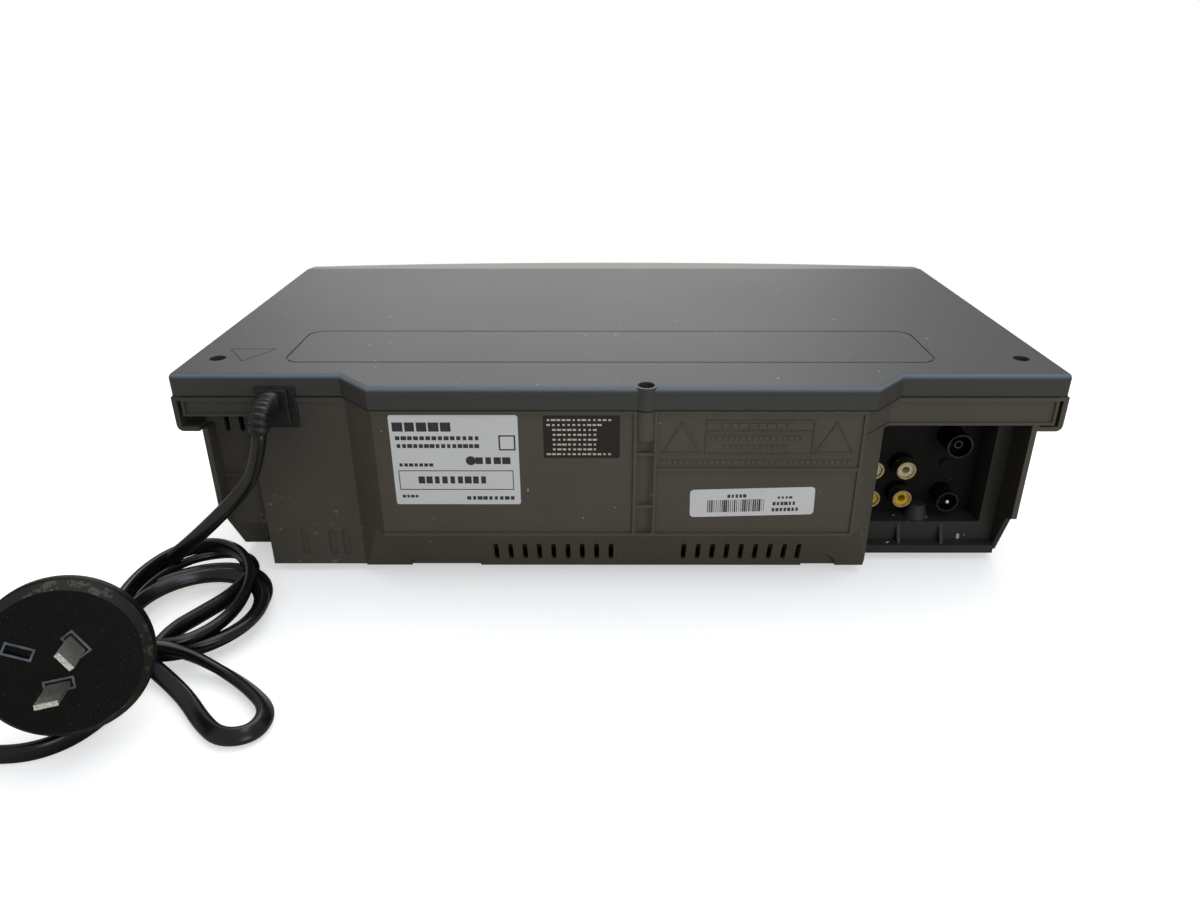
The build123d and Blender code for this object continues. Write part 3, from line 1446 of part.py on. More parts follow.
with BuildPart() as plug_blades:
    with BuildSketch(pattern_plane.offset(-slot_depth)):
        with PolarLocations(blade_circle, 2, start_angle=120, angular_range=240):
            Rectangle(blade_thickness, blade_width)
    extrude(amount=blade_length + slot_depth)
save(plug_blades.part, "plug_blades")
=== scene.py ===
import bpy, bmesh
from math import asin, cos, pi, radians, sin, sqrt
from mathutils import Matrix, Vector


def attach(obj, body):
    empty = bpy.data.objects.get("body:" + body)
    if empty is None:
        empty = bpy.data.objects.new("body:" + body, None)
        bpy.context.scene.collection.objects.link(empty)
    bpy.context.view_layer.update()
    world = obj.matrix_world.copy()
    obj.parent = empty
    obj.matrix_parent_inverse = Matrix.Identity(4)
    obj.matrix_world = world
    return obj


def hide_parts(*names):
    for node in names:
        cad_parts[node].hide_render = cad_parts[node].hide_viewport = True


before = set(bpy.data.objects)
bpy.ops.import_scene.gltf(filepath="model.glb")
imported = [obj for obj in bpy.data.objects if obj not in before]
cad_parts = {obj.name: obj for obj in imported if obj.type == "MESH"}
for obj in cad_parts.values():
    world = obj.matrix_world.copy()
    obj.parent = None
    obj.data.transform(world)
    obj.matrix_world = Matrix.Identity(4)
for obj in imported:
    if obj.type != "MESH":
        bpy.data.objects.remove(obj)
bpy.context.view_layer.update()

# Camera, at the photograph's place: it looks down on the rear of the cabinet.
# Its place, pitch, heading and focal length were fitted to edges that the photograph shows.
mm = 0.001
camera_place = Vector((7.66, 422.45, 212.99)) * mm
camera_pitch = 25.34
camera_heading = 180.06
photo_focal_px = 873.66
photo_width_px = 1200
camera = bpy.data.objects.new("camera", bpy.data.cameras.new("camera"))
camera.data.sensor_width = 36
camera.data.lens = photo_focal_px / photo_width_px * camera.data.sensor_width
camera.data.clip_start = 0.01
camera.location = camera_place
camera.rotation_euler = (radians(90 - camera_pitch), 0, radians(camera_heading))
bpy.context.scene.collection.objects.link(camera)
bpy.context.scene.camera = camera
bpy.context.scene.view_settings.view_transform = "Standard"


# Floor, world and lamps. The pale floor fades to blank white for the camera alone, and bounces a darker
# and warmer light up to the cabinet. One broad lamp hangs overhead, two cool ones stand on the rear's side
# and one fills in from the front.
class Value:
    """One output of a shader node; sums, products and comparisons of it add Math nodes."""

    def __init__(self, finish, socket):
        self.finish, self.socket = finish, socket

    def maths(self, operation, first, second):
        return self.finish.node("ShaderNodeMath", {"operation": operation}, {0: first, 1: second})

    def __add__(self, other):
        return self.maths("ADD", self, other)

    __radd__ = __add__

    def __sub__(self, other):
        return self.maths("SUBTRACT", self, other)

    def __rsub__(self, other):
        return self.maths("SUBTRACT", other, self)

    def __mul__(self, other):
        return self.maths("MULTIPLY", self, other)

    def __gt__(self, other):
        return self.maths("GREATER_THAN", self, other)

    def __lt__(self, other):
        return self.maths("LESS_THAN", self, other)


class Finish:
    """A material, or the world, whose nodes are added one by one."""

    def __init__(self, name, world=False):
        holder = bpy.data.worlds if world else bpy.data.materials
        self.data = holder.new(name)
        self.data.use_nodes = True
        self.tree = self.data.node_tree
        self.tree.nodes.clear()
        self.end = self.tree.nodes.new("ShaderNodeOutputWorld" if world else "ShaderNodeOutputMaterial")
        if not world:
            self.surface = self.tree.nodes.new("ShaderNodeBsdfPrincipled")
            self.tree.links.new(self.surface.outputs[0], self.end.inputs[0])

    def put(self, socket, value):
        if isinstance(value, Value):
            self.tree.links.new(value.socket, socket)
        else:
            socket.default_value = value

    def node(self, kind, settings=(), inputs=(), output=0):
        made = self.tree.nodes.new(kind)
        for key, value in dict(settings).items():
            if key == "stops":
                ramp = made.color_ramp
                while len(ramp.elements) < len(value):
                    ramp.elements.new(0.5)
                for element, (place, colour) in zip(ramp.elements, value):
                    element.position, element.color = place, (*colour, 1)
            else:
                setattr(made, key, value)
        for key, value in dict(inputs).items():
            self.put(made.inputs[key], value)
        return Value(self, made.outputs[output])

    def set(self, **values):
        for key, value in values.items():
            self.put(self.surface.inputs[key.replace("_", " ")], value)

    def place(self, scale=(1, 1, 1), turn=(0, 0, 0)):
        """The object's own coordinates, scaled and turned."""
        at = self.node("ShaderNodeTexCoord", output="Object")
        return self.node("ShaderNodeMapping", {}, {"Vector": at, "Scale": scale, "Rotation": turn})

    def noise(self, scale, detail=3.0, rough=0.5, place=None):
        inputs = {"Scale": scale, "Detail": detail, "Roughness": rough, "Vector": place or self.place()}
        return self.node("ShaderNodeTexNoise", {}, inputs)

    def ramp(self, value, *stops):
        return self.node("ShaderNodeValToRGB", {"stops": stops}, {0: value})

    def mix(self, factor, first, second):
        settings = {"data_type": "RGBA"}
        return self.node("ShaderNodeMix", settings, {0: factor, 6: first, 7: second}, output=2)

    def bump(self, height, strength, distance):
        inputs = {"Height": height, "Strength": strength, "Distance": distance * mm}
        return self.node("ShaderNodeBump", {}, inputs)


def srgb(red, green, blue):
    """A colour as the photograph shows it, 0 to 255, for a shader."""
    return tuple(
        (v / 255 / 12.92) if v <= 10 else ((v / 255 + 0.055) / 1.055) ** 2.4 for v in (red, green, blue)
    ) + (1.0,)


def stand(name, data):
    """Puts a mesh, curve or lamp into the scene as an object."""
    holder = bpy.data.objects.new(name, data)
    bpy.context.scene.collection.objects.link(holder)
    return holder


floor_reach = 12.0
fade_start = 0.22
fade_end = 0.5
floor_glow = 0.5
room_strength = 0.4
floor_mesh = bpy.data.meshes.new("floor")
floor_corners = [(x * floor_reach, y * floor_reach, 0) for x, y in ((-1, -1), (1, -1), (1, 1), (-1, 1))]
floor_mesh.from_pydata(floor_corners, [], [(0, 1, 2, 3)])
floor = stand("floor", floor_mesh)
pale = Finish("pale_floor")
pale.set(Base_Color=(0.82, 0.82, 0.82, 1), Roughness=0.9)
direct = pale.node("ShaderNodeLightPath", output="Is Camera Ray")
white = pale.node("ShaderNodeEmission", {}, {"Color": (1, 1, 1, 1), "Strength": floor_glow})
both = pale.node("ShaderNodeAddShader", {}, {0: Value(pale, pale.surface.outputs[0]), 1: white})
spot = pale.node("ShaderNodeTexCoord", output="Object")
from_middle = pale.node("ShaderNodeVectorMath", {"operation": "LENGTH"}, {0: spot}, output="Value")
far = pale.node("ShaderNodeMapRange", {}, {0: from_middle, 1: fade_start, 2: fade_end})
blank_floor = pale.node("ShaderNodeEmission", {}, {"Color": (1, 1, 1, 1), "Strength": 1.0})
faded = pale.node("ShaderNodeMixShader", {}, {0: far, 1: both, 2: blank_floor})
bounce = pale.node("ShaderNodeBsdfDiffuse", {}, {"Color": (0.55, 0.49, 0.41, 1)})
shown = pale.node("ShaderNodeMixShader", {}, {0: direct, 1: bounce, 2: faded})
pale.tree.links.new(shown.socket, pale.end.inputs[0])
floor_mesh.materials.append(pale.data)

room = Finish("room", world=True)
seen = room.node("ShaderNodeLightPath", output="Is Camera Ray")
around = room.node("ShaderNodeBackground", {}, {"Color": (0.97, 0.985, 1.0, 1), "Strength": room_strength})
blank = room.node("ShaderNodeBackground", {}, {"Color": (1, 1, 1, 1), "Strength": 1.0})
mixed = room.node("ShaderNodeMixShader", {}, {0: seen, 1: around, 2: blank})
room.tree.links.new(mixed.socket, room.end.inputs[0])
bpy.context.scene.world = room.data


def lamp(name, place, aim, size, power, colour=(1, 1, 1)):
    light = bpy.data.lights.new(name, "AREA")
    light.shape, light.size, light.energy, light.color = "DISK", size, power, colour
    holder = stand(name, light)
    holder.location = place
    holder.rotation_euler = (Vector(aim) - Vector(place)).to_track_quat("-Z", "Y").to_euler()


lamp("ceiling", (-0.12, -0.5, 1.5), (0, 0, 0), 1.9, 14.5)
lamp("window_side", (-0.5, 1.25, 0.4), (0, 0, 0.05), 0.8, 3.2, (0.88, 0.94, 1.0))
lamp("rear_sky", (-0.3, 0.7, 1.5), (0, 0.05, 0.05), 0.7, 3.0, (0.74, 0.87, 1.0))
lamp("front_fill", (0.1, -1.6, 0.75), (0, 0, 0.05), 1.6, 10)

# Route of the mains lead, a flat twin flex in a soft black sheath. It hangs from the relief, makes loose
# turns of different sizes on the floor, puts out one long loop and runs under the plug. A smooth curve is
# drawn through the points, and its line alone is kept.
flex_width = 6.4
flex_thickness = 4.1
lead_floor = 3.4
lead_exit = (141.03, 110.83, 74.0)
lead_drop = [
    lead_exit, (144.5, 111.5, 57.0), (156.0, 109.5, 43.0), (171.0, 106.5, 28.5), (186.0, 104.0, 15.0),
    (197.0, 107.0, 7.5),
]
# the turns, as they follow one another: middle, half sizes and height; each one blends into the next
turn_keys = [
    ((175.0, 127.0), (29.5, 34.5), 3.6),
    ((170.0, 134.0), (28.0, 27.0), 6.0),
    ((168.0, 138.0), (24.5, 24.0), 9.0),
    ((176.5, 127.0), (21.5, 38.0), 12.0),
    ((176.5, 127.0), (21.5, 38.0), 12.0),
]
turn_start = -22
turn_end = 90
turn_steps = 14
lead_loop = [
    (161.0, 164.0, 9.0), (145.0, 169.5, 4.0), (131.5, 179.0, lead_floor), (121.5, 189.5, lead_floor),
    (123.0, 200.5, lead_floor), (133.5, 202.5, lead_floor), (142.5, 195.0, lead_floor),
    (152.0, 184.0, lead_floor), (163.0, 174.0, lead_floor), (176.0, 165.0, 6.0),
]
lead_last_turn = [
    (189.0, 153.0, 7.5), (197.0, 136.0, 7.5), (196.0, 116.0, 7.5), (187.0, 99.0, 7.0), (173.0, 92.5, 6.5),
    (160.5, 98.0, 7.5), (154.0, 112.0, 8.0), (157.0, 128.0, 8.0), (165.0, 141.0, 8.0),
]
lead_tail = [
    (171.0, 152.0, 8.5), (173.0, 169.0, 7.0), (176.0, 188.0, lead_floor), (183.0, 204.0, lead_floor),
    (198.0, 211.0, lead_floor), (224.0, 207.5, 3.8), (236.0, 206.0, 16.5), (232.0, 206.0, 34.0),
    (216.0, 207.0, 43.0), (201.5, 203.9, 39.4),
]
lead_points = list(lead_drop)
whole_turns = len(turn_keys) - 2
total_angle = whole_turns * 360 + turn_end - turn_start
step_count = round(total_angle / 360 * turn_steps)
for step in range(step_count + 1):
    angle = turn_start + total_angle * step / step_count
    share = (angle - turn_start) / 360
    key = int(share)
    part = share - key
    (ax, ay), (aw, ah), az = turn_keys[key]
    (bx, by), (bw, bh), bz = turn_keys[key + 1]
    centre_x, centre_y = ax + (bx - ax) * part, ay + (by - ay) * part
    reach_x, reach_y = aw + (bw - aw) * part, ah + (bh - ah) * part
    lead_points.append((
        centre_x + reach_x * cos(radians(angle)),
        centre_y + reach_y * sin(radians(angle)),
        az + (bz - az) * part,
    ))
lead_points += lead_loop + lead_last_turn + lead_tail

route = bpy.data.curves.new("lead_route", "CURVE")
route.dimensions = "3D"
route.resolution_u = 8
spline = route.splines.new("NURBS")
spline.points.add(len(lead_points) - 1)
for point, (x, y, z) in zip(spline.points, lead_points):
    point.co = (x * mm, y * mm, z * mm, 1)
spline.order_u = 3
spline.use_endpoint_u = True
route_holder = stand("lead_route", route)
bpy.context.view_layer.update()
settled = route_holder.evaluated_get(bpy.context.evaluated_depsgraph_get())
line_mesh = bpy.data.meshes.new_from_object(settled)
lead_line = [v.co.copy() for v in line_mesh.vertices]
bpy.data.objects.remove(route_holder)

# Grommet and strain relief: one soft black moulding, a little dusty, that snaps into the rear wall.
# A stepped frame carries a boot that turns down, with five close ribs and a collar round the flex.
soft_black = Finish("soft_black")
haze = soft_black.noise(120, 4, 0.65)
soft_black.set(
    Base_Color=soft_black.ramp(haze, (0.35, (0.006, 0.006, 0.008)), (0.8, (0.02, 0.02, 0.024))),
    Roughness=0.3 + haze * 0.2, Normal=soft_black.bump(soft_black.noise(2500, 1), 0.2, 0.05),
)
frame_y = 97.5
boot_start = Vector((139.0, frame_y - 1.0, 82.0))
boot_bend = Vector((139.3, 113.2, 83.6))
boot_steps = 80
boot_sides = 28
boot_flatness = 0.92
rib_count = 5
rib_room = 1.9
rib_half = 3.85
rib_back = 3.8
groove_half = 3.1
collar_room = 2.4


def skin(maker, loops):
    """Faces between loops of the same count that follow one another."""
    made = []
    for a, b in zip(loops, loops[1:]):
        for n in range(len(a)):
            after = (n + 1) % len(a)
            made.append(maker.faces.new((a[n], a[after], b[after], b[n])))
    return made


def closed(name, maker, finish):
    """The mesh of a closed body, with its faces outwards and one finish."""
    bmesh.ops.recalc_face_normals(maker, faces=maker.faces)
    made = bpy.data.meshes.new(name)
    maker.to_mesh(made)
    maker.free()
    made.materials.append(finish.data)
    return made


boot_line = [
    boot_start * (1 - t) ** 2 + boot_bend * 2 * t * (1 - t) + Vector(lead_exit) * t * t
    for t in (n / boot_steps for n in range(boot_steps + 1))
]
boot_lengths = [0.0]
for before, after in zip(boot_line, boot_line[1:]):
    boot_lengths.append(boot_lengths[-1] + (after - before).length)
boot_length = boot_lengths[-1]
first_rib = boot_length - collar_room - rib_count * rib_room
# the boot's profile: place along its line and half its width there
boot_profile = [(0.0, 4.4), (first_rib - 0.9, 4.2), (first_rib - 0.5, groove_half)]
for n in range(rib_count):
    rib = first_rib + n * rib_room
    boot_profile += [
        (rib, groove_half), (rib + 0.22, rib_half), (rib + 1.22, rib_back), (rib + 1.44, groove_half),
    ]
boot_profile += [
    (boot_length - 2.3, groove_half), (boot_length - 2.0, rib_half), (boot_length - 0.25, rib_back),
    (boot_length, 3.55),
]

maker = bmesh.new()
for low, high, bevel in (
    ((129.6, frame_y - 1.7, 69.6), (146.0, frame_y + 0.9, 86.9), 0.5),
    ((132.4, frame_y - 1.7, 70.8), (145.0, frame_y + 2.4, 86.4), 0.8),
):
    made = bmesh.ops.create_cube(maker, size=1.0)["verts"]
    for vert in made:
        vert.co = Vector((b + a) / 2 + c * (b - a) for a, b, c in zip(low, high, vert.co)) * mm
    sides = list({edge for vert in made for edge in vert.link_edges})
    bmesh.ops.bevel(maker, geom=sides, offset=bevel * mm, segments=3, profile=0.6, affect="EDGES")
rings = []
for reach, half in boot_profile:
    n = max(k for k in range(boot_steps) if boot_lengths[k] <= reach + 1e-6)
    share = (reach - boot_lengths[n]) / (boot_lengths[n + 1] - boot_lengths[n])
    middle = boot_line[n].lerp(boot_line[n + 1], share)
    tangent = (boot_line[n + 1] - boot_line[n]).normalized()
    aside = (Vector((1, 0, 0)) - tangent * tangent.x).normalized()
    over = tangent.cross(aside)
    ring = []
    for k in range(boot_sides):
        turn = 2 * pi * k / boot_sides
        u, v = cos(turn), sin(turn)
        round_off = (abs(u) ** 3 + abs(v) ** 3) ** (-1 / 3)
        spoke = (aside * u + over * v * boot_flatness) * round_off * half
        ring.append(maker.verts.new((middle + spoke) * mm))
    rings.append(ring)
for face in skin(maker, rings):
    face.smooth = True
maker.faces.new(rings[0])
maker.faces.new(rings[-1])
boot_piece = stand("ribbed_boot", closed("ribbed_boot", maker, soft_black))
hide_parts("strain_relief")
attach(boot_piece, "cabinet")

# Flat twin flex along the route above: two round cores side by side under one glossy black sheath, with
# a shallow waist between them. It is one skin, laid ring by ring, that rolls from side to side on its way.
flex_sides = 16
waist_depth = 0.92
roll_middle = 52
roll_swing = 30
roll_length = 0.075
half_wide = (flex_width - flex_thickness) / 2
flex_section = []
for n in range(flex_sides):
    turn = 2 * pi * n / flex_sides
    side = half_wide if cos(turn) > 0 else -half_wide
    waist = waist_depth if abs(cos(turn)) < 0.2 else 1.0
    flex_section.append((side + flex_thickness / 2 * cos(turn), flex_thickness / 2 * sin(turn) * waist))

maker = bmesh.new()
along = 0.0
rings = []
for n, point in enumerate(lead_line):
    before, after = lead_line[max(n - 1, 0)], lead_line[min(n + 1, len(lead_line) - 1)]
    tangent = (after - before).normalized()
    along += (point - before).length
    aside = tangent.cross(Vector((0, 0, 1))).normalized()
    over = aside.cross(tangent).normalized()
    lean = radians(roll_middle + roll_swing * sin(along / roll_length))
    broad, thin = aside * cos(lean) + over * sin(lean), over * cos(lean) - aside * sin(lean)
    rings.append([maker.verts.new(point + (broad * u + thin * v) * mm) for u, v in flex_section])
for face in skin(maker, rings):
    face.smooth = True
maker.faces.new(rings[0])
maker.faces.new(rings[-1])

sheath = Finish("black_sheath")
grain = sheath.noise(900, 2)
smears = sheath.noise(60, 4, 0.6)
sheath.set(
    Base_Color=sheath.ramp(smears, (0.3, (0.003, 0.003, 0.004)), (0.75, (0.009, 0.009, 0.012))),
    Roughness=0.14 + smears * 0.2,
    Normal=sheath.bump(grain, 0.15, 0.05),
)
lead_piece = stand("mains_lead_flex", closed("mains_lead_flex", maker, sheath))
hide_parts("mains_lead", "lead_hank", "lead_tail")
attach(lead_piece, "cabinet")


def dress(finish, *nodes):
    """Gives CAD nodes a finish; their meshes stay as they are."""
    for node in nodes:
        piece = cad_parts[node]
        piece.data.materials.clear()
        piece.data.materials.append(finish.data)


# Round mains plug: a glossy black moulding with a worn, paler bevel, and a soft ribbed boss for the flex.
# Its blades are plated brass with scratches along them. A thin raised rim runs round each of its slots,
# coloured a pale bluish grey as a painted highlight.
plug_middle = Vector((176.4, 204.2, 36.0)) * mm
plug_out = Vector((-0.345, 0.89, 0.3)).normalized()
plug_across = Vector((0.862, 0.173, 0.477))
plug_across = (plug_across - plug_out * plug_across.dot(plug_out)).normalized()
plug_up = plug_out.cross(plug_across)
plug_face_radius = 23.1
pattern_offset = 2.0
blade_circle = 7.92
earth_reach = 10.3
slot_size = (7.5, 2.8)
slot_rim = 0.65
rim_proud = 0.35
bevel_depth = 4.0

plug_skin = Finish("plug_moulding")
at = plug_skin.node("ShaderNodeTexCoord", output="Object")
from_middle = plug_skin.node("ShaderNodeVectorMath", {"operation": "SUBTRACT"}, {0: at, 1: plug_middle})
outwards = plug_skin.node(
    "ShaderNodeVectorMath", {"operation": "DOT_PRODUCT"}, {0: from_middle, 1: plug_out}, output="Value",
)
length = plug_skin.node("ShaderNodeVectorMath", {"operation": "LENGTH"}, {0: from_middle}, output="Value")
on_bevel = (length > plug_face_radius * mm) * (outwards > -bevel_depth * mm) * (outwards < -0.05 * mm)
marks = plug_skin.noise(220, 5, 0.7)
streaks = plug_skin.noise(70, 3, 0.6)
dust = plug_skin.noise(1400, 1) > 0.72
base = plug_skin.mix(on_bevel, srgb(7, 7, 7), srgb(38, 36, 33))
base = plug_skin.mix((marks > 0.56) * on_bevel * 0.7, base, srgb(84, 79, 72))
base = plug_skin.mix(dust * 0.18, base, srgb(110, 108, 104))
plug_skin.set(
    Base_Color=base, Roughness=0.34 + on_bevel * 0.2 + streaks * 0.2,
    Normal=plug_skin.bump(marks, 0.2, 0.1), Specular_IOR_Level=0.14,
)
dress(plug_skin, "mains_plug")

blade_metal = Finish("blade_metal")
scratch_place = blade_metal.place(scale=(1, 4, 4), turn=(0.3, 0.2, -0.36))
scratches = blade_metal.noise(700, 3, 0.7, scratch_place)
blade_metal.set(
    Base_Color=blade_metal.ramp(scratches, (0.35, (0.45, 0.43, 0.37)), (0.62, (0.86, 0.84, 0.78))),
    Metallic=1.0, Roughness=0.3 + scratches * 0.25, Normal=blade_metal.bump(scratches, 0.3, 0.05),
)
dress(blade_metal, "plug_blades")

# painted highlight: the slot rims are a pale bluish grey on the black plug
slot_rim_highlight = Finish("slot_rim")
slot_rim_highlight.set(
    Base_Color=slot_rim_highlight.ramp(slot_rim_highlight.noise(300), (0.3, (0.05, 0.058, 0.075)), (0.7, (0.13, 0.15, 0.18))),
    Roughness=0.35,
)
maker = bmesh.new()
for turn, reach, lies in ((0, earth_reach, 0), (120, blade_circle, 90), (240, blade_circle, 90)):
    out_way = plug_across * cos(radians(turn)) + plug_up * sin(radians(turn))
    middle = plug_middle + (plug_across * pattern_offset + out_way * reach) * mm
    out_way = plug_across * cos(radians(turn + lies)) + plug_up * sin(radians(turn + lies))
    side_way = plug_out.cross(out_way)
    loops = []
    for grow, lift in ((0, -0.1), (0, rim_proud), (slot_rim, rim_proud), (slot_rim, -0.1)):
        long, wide = (slot_size[0] / 2 + grow) * mm, (slot_size[1] / 2 + grow) * mm
        loops.append([
            maker.verts.new(middle + out_way * a + side_way * b + plug_out * lift * mm)
            for a, b in ((long, wide), (-long, wide), (-long, -wide), (long, -wide))
        ])
    skin(maker, loops + loops[:1])
slot_rims_piece = stand("plug_slot_rims", closed("plug_slot_rims", maker, slot_rim_highlight))
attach(slot_rims_piece, "cabinet")

# Cabinet mouldings: grey plastic with a fine moulded grain, faint flow shades and a few pale specks.
# The cover is a neutral grey, the tub a brown grey, the front a warmer painted grey. All are CAD pieces
# that take a finish.
def moulding(name, colour, shade, grain, rough, specks=0.0, bump=0.35, darker=None, shine=0.42):
    """Moulded plastic: shade is its unevenness, grain its scale, darker a function that adds its dirt and its
    painted light and shade.
    """
    finish = Finish(name)
    flow = finish.noise(14, 3, 0.6)
    fine = finish.noise(grain, 2, 0.5)
    dark = tuple(c * (1 - shade * 2) for c in colour[:3])
    light = tuple(c * (1 + shade * 2) for c in colour[:3])
    base = finish.ramp(flow, (0.3, dark), (0.7, light))
    base = finish.mix(fine * 0.12, base, (*[c * 1.35 for c in colour[:3]], 1))
    if specks:
        spots = finish.noise(420, 1, 0.4) > 0.815 - specks
        base = finish.mix(spots * 0.5, base, srgb(190, 188, 180))
    if darker:
        base = darker(finish, base)
    finish.set(
        Base_Color=base, Roughness=rough + flow * 0.08, Normal=finish.bump(fine, bump, 0.12),
        Specular_IOR_Level=shine,
    )
    return finish


joint_height = 82.4
joint_gap = 0.6
bay_side = -106.7
bay_mouth = 96.8
bay_roof = 70.4
fleck_top = 20
block_side = 120.0
scuff_top = 40
shade_side = 100
shade_rise = 30


def cover_joint_shade_and_sheen(finish, base):
    """Painted shade in the joint along the foot of the cover's rim, and a cool painted reflection on its
    rounded edges.
    """
    at = finish.node("ShaderNodeTexCoord", output="Object")
    height = finish.node("ShaderNodeSeparateXYZ", {}, {0: at}, output=2)
    facing = finish.node("ShaderNodeTexCoord", output="Normal")
    upward = finish.node("ShaderNodeSeparateXYZ", {}, {0: facing}, output=2)
    rounded = upward * upward * (1 - upward * upward) * 4
    # painted reflection: a cool pale tint on the rounded edges, strongest where they face halfway between up
    # and sideways
    base = finish.mix(rounded * 0.75, base, srgb(112, 124, 135))
    # painted shade: the lowest band of the cover, along its joint with the tub, is turned nearly black
    return finish.mix((height < (joint_height + joint_gap) * mm) * 0.95, base, srgb(6, 6, 6))


def case_dirt_and_shade(finish, base):
    """Painted shade, cooler and darker, inside the socket bay, pale scuffs, and a painted shadow on the block
    beside the lead that deepens towards its top.
    """
    at = finish.node("ShaderNodeTexCoord", output="Object")
    across, back, up = (finish.node("ShaderNodeSeparateXYZ", {}, {0: at}, output=n) for n in range(3))
    # painted shade: the socket bay's recess is turned a dark cool grey
    in_bay = (across < bay_side * mm) * (back < bay_mouth * mm) * (up < bay_roof * mm)
    base = finish.mix(in_bay * 0.8, base, srgb(30, 31, 32))
    scuffs = finish.noise(150, 6, 0.75, finish.place(scale=(1, 1, 2.2), turn=(0, 0.5, 0)))
    worn = (scuffs > 0.635) * (across > block_side * mm) * (up < scuff_top * mm)
    base = finish.mix(worn * 0.45, base, srgb(168, 164, 154))
    # painted shadow of the cover and the lead on the block beside the lead, fading in across its edge and
    # deeper towards its top
    near_lead = finish.ramp((across - shade_side * mm) * shade_rise, (0.0, (0, 0, 0)), (1.0, (1, 1, 1)))
    shaded = near_lead * finish.ramp(up * 10, (0.35, (0, 0, 0)), (0.75, (1, 1, 1)))
    base = finish.mix(shaded * 0.45, base, srgb(34, 36, 37))
    flecks = (finish.noise(260, 1, 0.4) > 0.76) * in_bay * (up < fleck_top * mm)
    return finish.mix(flecks * 0.8, base, srgb(205, 203, 196))


cover_grey = moulding("cover_grey", srgb(61, 61, 60), 0.03, 1500, 0.48, specks=0.01, darker=cover_joint_shade_and_sheen)
case_grey = moulding("case_grey", srgb(80, 76, 67), 0.05, 1300, 0.55, specks=0.012, darker=case_dirt_and_shade)
front_grey = moulding("front_grey", srgb(114, 106, 97), 0.03, 2200, 0.42, bump=0.15)
door_grey = moulding("door_grey", srgb(70, 66, 61), 0.03, 2200, 0.4, bump=0.15)
key_grey = moulding("key_grey", srgb(150, 143, 132), 0.02, 2600, 0.38, bump=0.1)
dress(cover_grey, "top_cover")
dress(case_grey, "bottom_case")
dress(front_grey, "front_fascia")
dress(door_grey, "cassette_door")
key_names = ["power", "channel_up", "channel_down", "eject", "play", "rewind", "forward", "record"]
dress(key_grey, *[name + "_button" for name in key_names])

# Feet of black rubber under the tub's corners, and the cover's screws, black plated with a crossed recess.
# The feet push into the tub. The screws hold the cover down at its corners and at its rear rim.
foot_rubber = Finish("foot_rubber")
rubs = foot_rubber.noise(160, 4)
foot_rubber.set(
    Base_Color=foot_rubber.ramp(rubs, (0.3, (0.012, 0.012, 0.012)), (0.8, (0.05, 0.05, 0.048))),
    Roughness=0.8,
)
dress(foot_rubber, "feet")
black_steel = Finish("black_steel")
plating = black_steel.noise(900)
black_steel.set(
    Base_Color=black_steel.ramp(plating, (0.4, (0.01, 0.01, 0.01)), (0.75, (0.06, 0.06, 0.06))),
    Metallic=0.8, Roughness=0.42,
)
dress(black_steel, "cover_screws")


# Socket bay: a black panel, nickel aerial sockets, and phono jacks with pale gold shells. The upper pair
# has cream insulators, the lower pair yellow ones. All are CAD pieces that take a finish.
def plated(name, dark, light, rough, metal=1.0, scale=500):
    """A smooth part between two shades of one colour, such as plate, glass or acetal."""
    finish = Finish(name)
    wear = finish.noise(scale, 4, 0.6)
    finish.set(
        Base_Color=finish.ramp(wear, (0.35, dark), (0.7, light)), Metallic=metal,
        Roughness=rough + wear * 0.15, Normal=finish.bump(wear, 0.12, 0.05),
    )
    return finish


pale_gold = plated("pale_gold", (0.42, 0.33, 0.19), (0.66, 0.56, 0.38), 0.22)
dark_nickel = plated("dark_nickel", (0.025, 0.025, 0.025), (0.07, 0.07, 0.07), 0.3, 1.0, 160)
cream = plated("cream_insulator", srgb(196, 186, 150)[:3], srgb(222, 214, 184)[:3], 0.35, 0.0)
yellow = plated("yellow_insulator", srgb(196, 160, 20)[:3], srgb(232, 196, 40)[:3], 0.35, 0.0)
panel_black = moulding("panel_black", srgb(13, 13, 12), 0.08, 1200, 0.6, specks=0.02, shine=0.2)
dress(pale_gold, "jack_shells")
dress(dark_nickel, "aerial_socket")
dress(moulding("plug_shell", srgb(15, 15, 16), 0.05, 1500, 0.18, bump=0.1), "rf_out_plug")
dress(cream, "audio_inserts")
dress(yellow, "video_inserts")
dress(panel_black, "terminal_panel", "jack_block")

# Bright centre pin of the aerial plug: a turned, plated brass pin pressed into its insulator.
# Its half profile, as radius and place along Y, is spun about the pin's own line.
pin_x = -146.3
pin_z = 25.9
pin_sides = 20
pin_profile = [(0.0, 81.9), (0.7, 81.7), (1.2, 81.2), (1.2, 73.0), (0.0, 73.0)]
maker = bmesh.new()
outline = [maker.verts.new((pin_x * mm + r * mm, y * mm, pin_z * mm)) for r, y in pin_profile]
edges = [maker.edges.new(pair) for pair in zip(outline, outline[1:])]
bmesh.ops.spin(
    maker, geom=outline + edges, cent=(pin_x * mm, 0, pin_z * mm), axis=(0, 1, 0), angle=2 * pi,
    steps=pin_sides,
)
bmesh.ops.remove_doubles(maker, verts=maker.verts, dist=1e-6)
for face in maker.faces:
    face.smooth = True
bright_pin = plated("bright_pin", (0.6, 0.6, 0.6), (0.85, 0.85, 0.85), 0.12)
pin_piece = stand("aerial_pin", closed("aerial_pin", maker, bright_pin))
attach(pin_piece, "cabinet")


# Labels on the rear wall: a white rating plate, a small black one and a sticker that sits a little askew.
# They are printed paper, stuck on. They carry plain bars only, laid in rows by one node tree.
wall_y = 110.5
plate_sunk = 0.02
plate_thickness = 0.12
sticker_thickness = 0.1
box_thickness = 0.15
ink_thickness = 0.00006
corner_steps = 4
longest_bar = 0.92


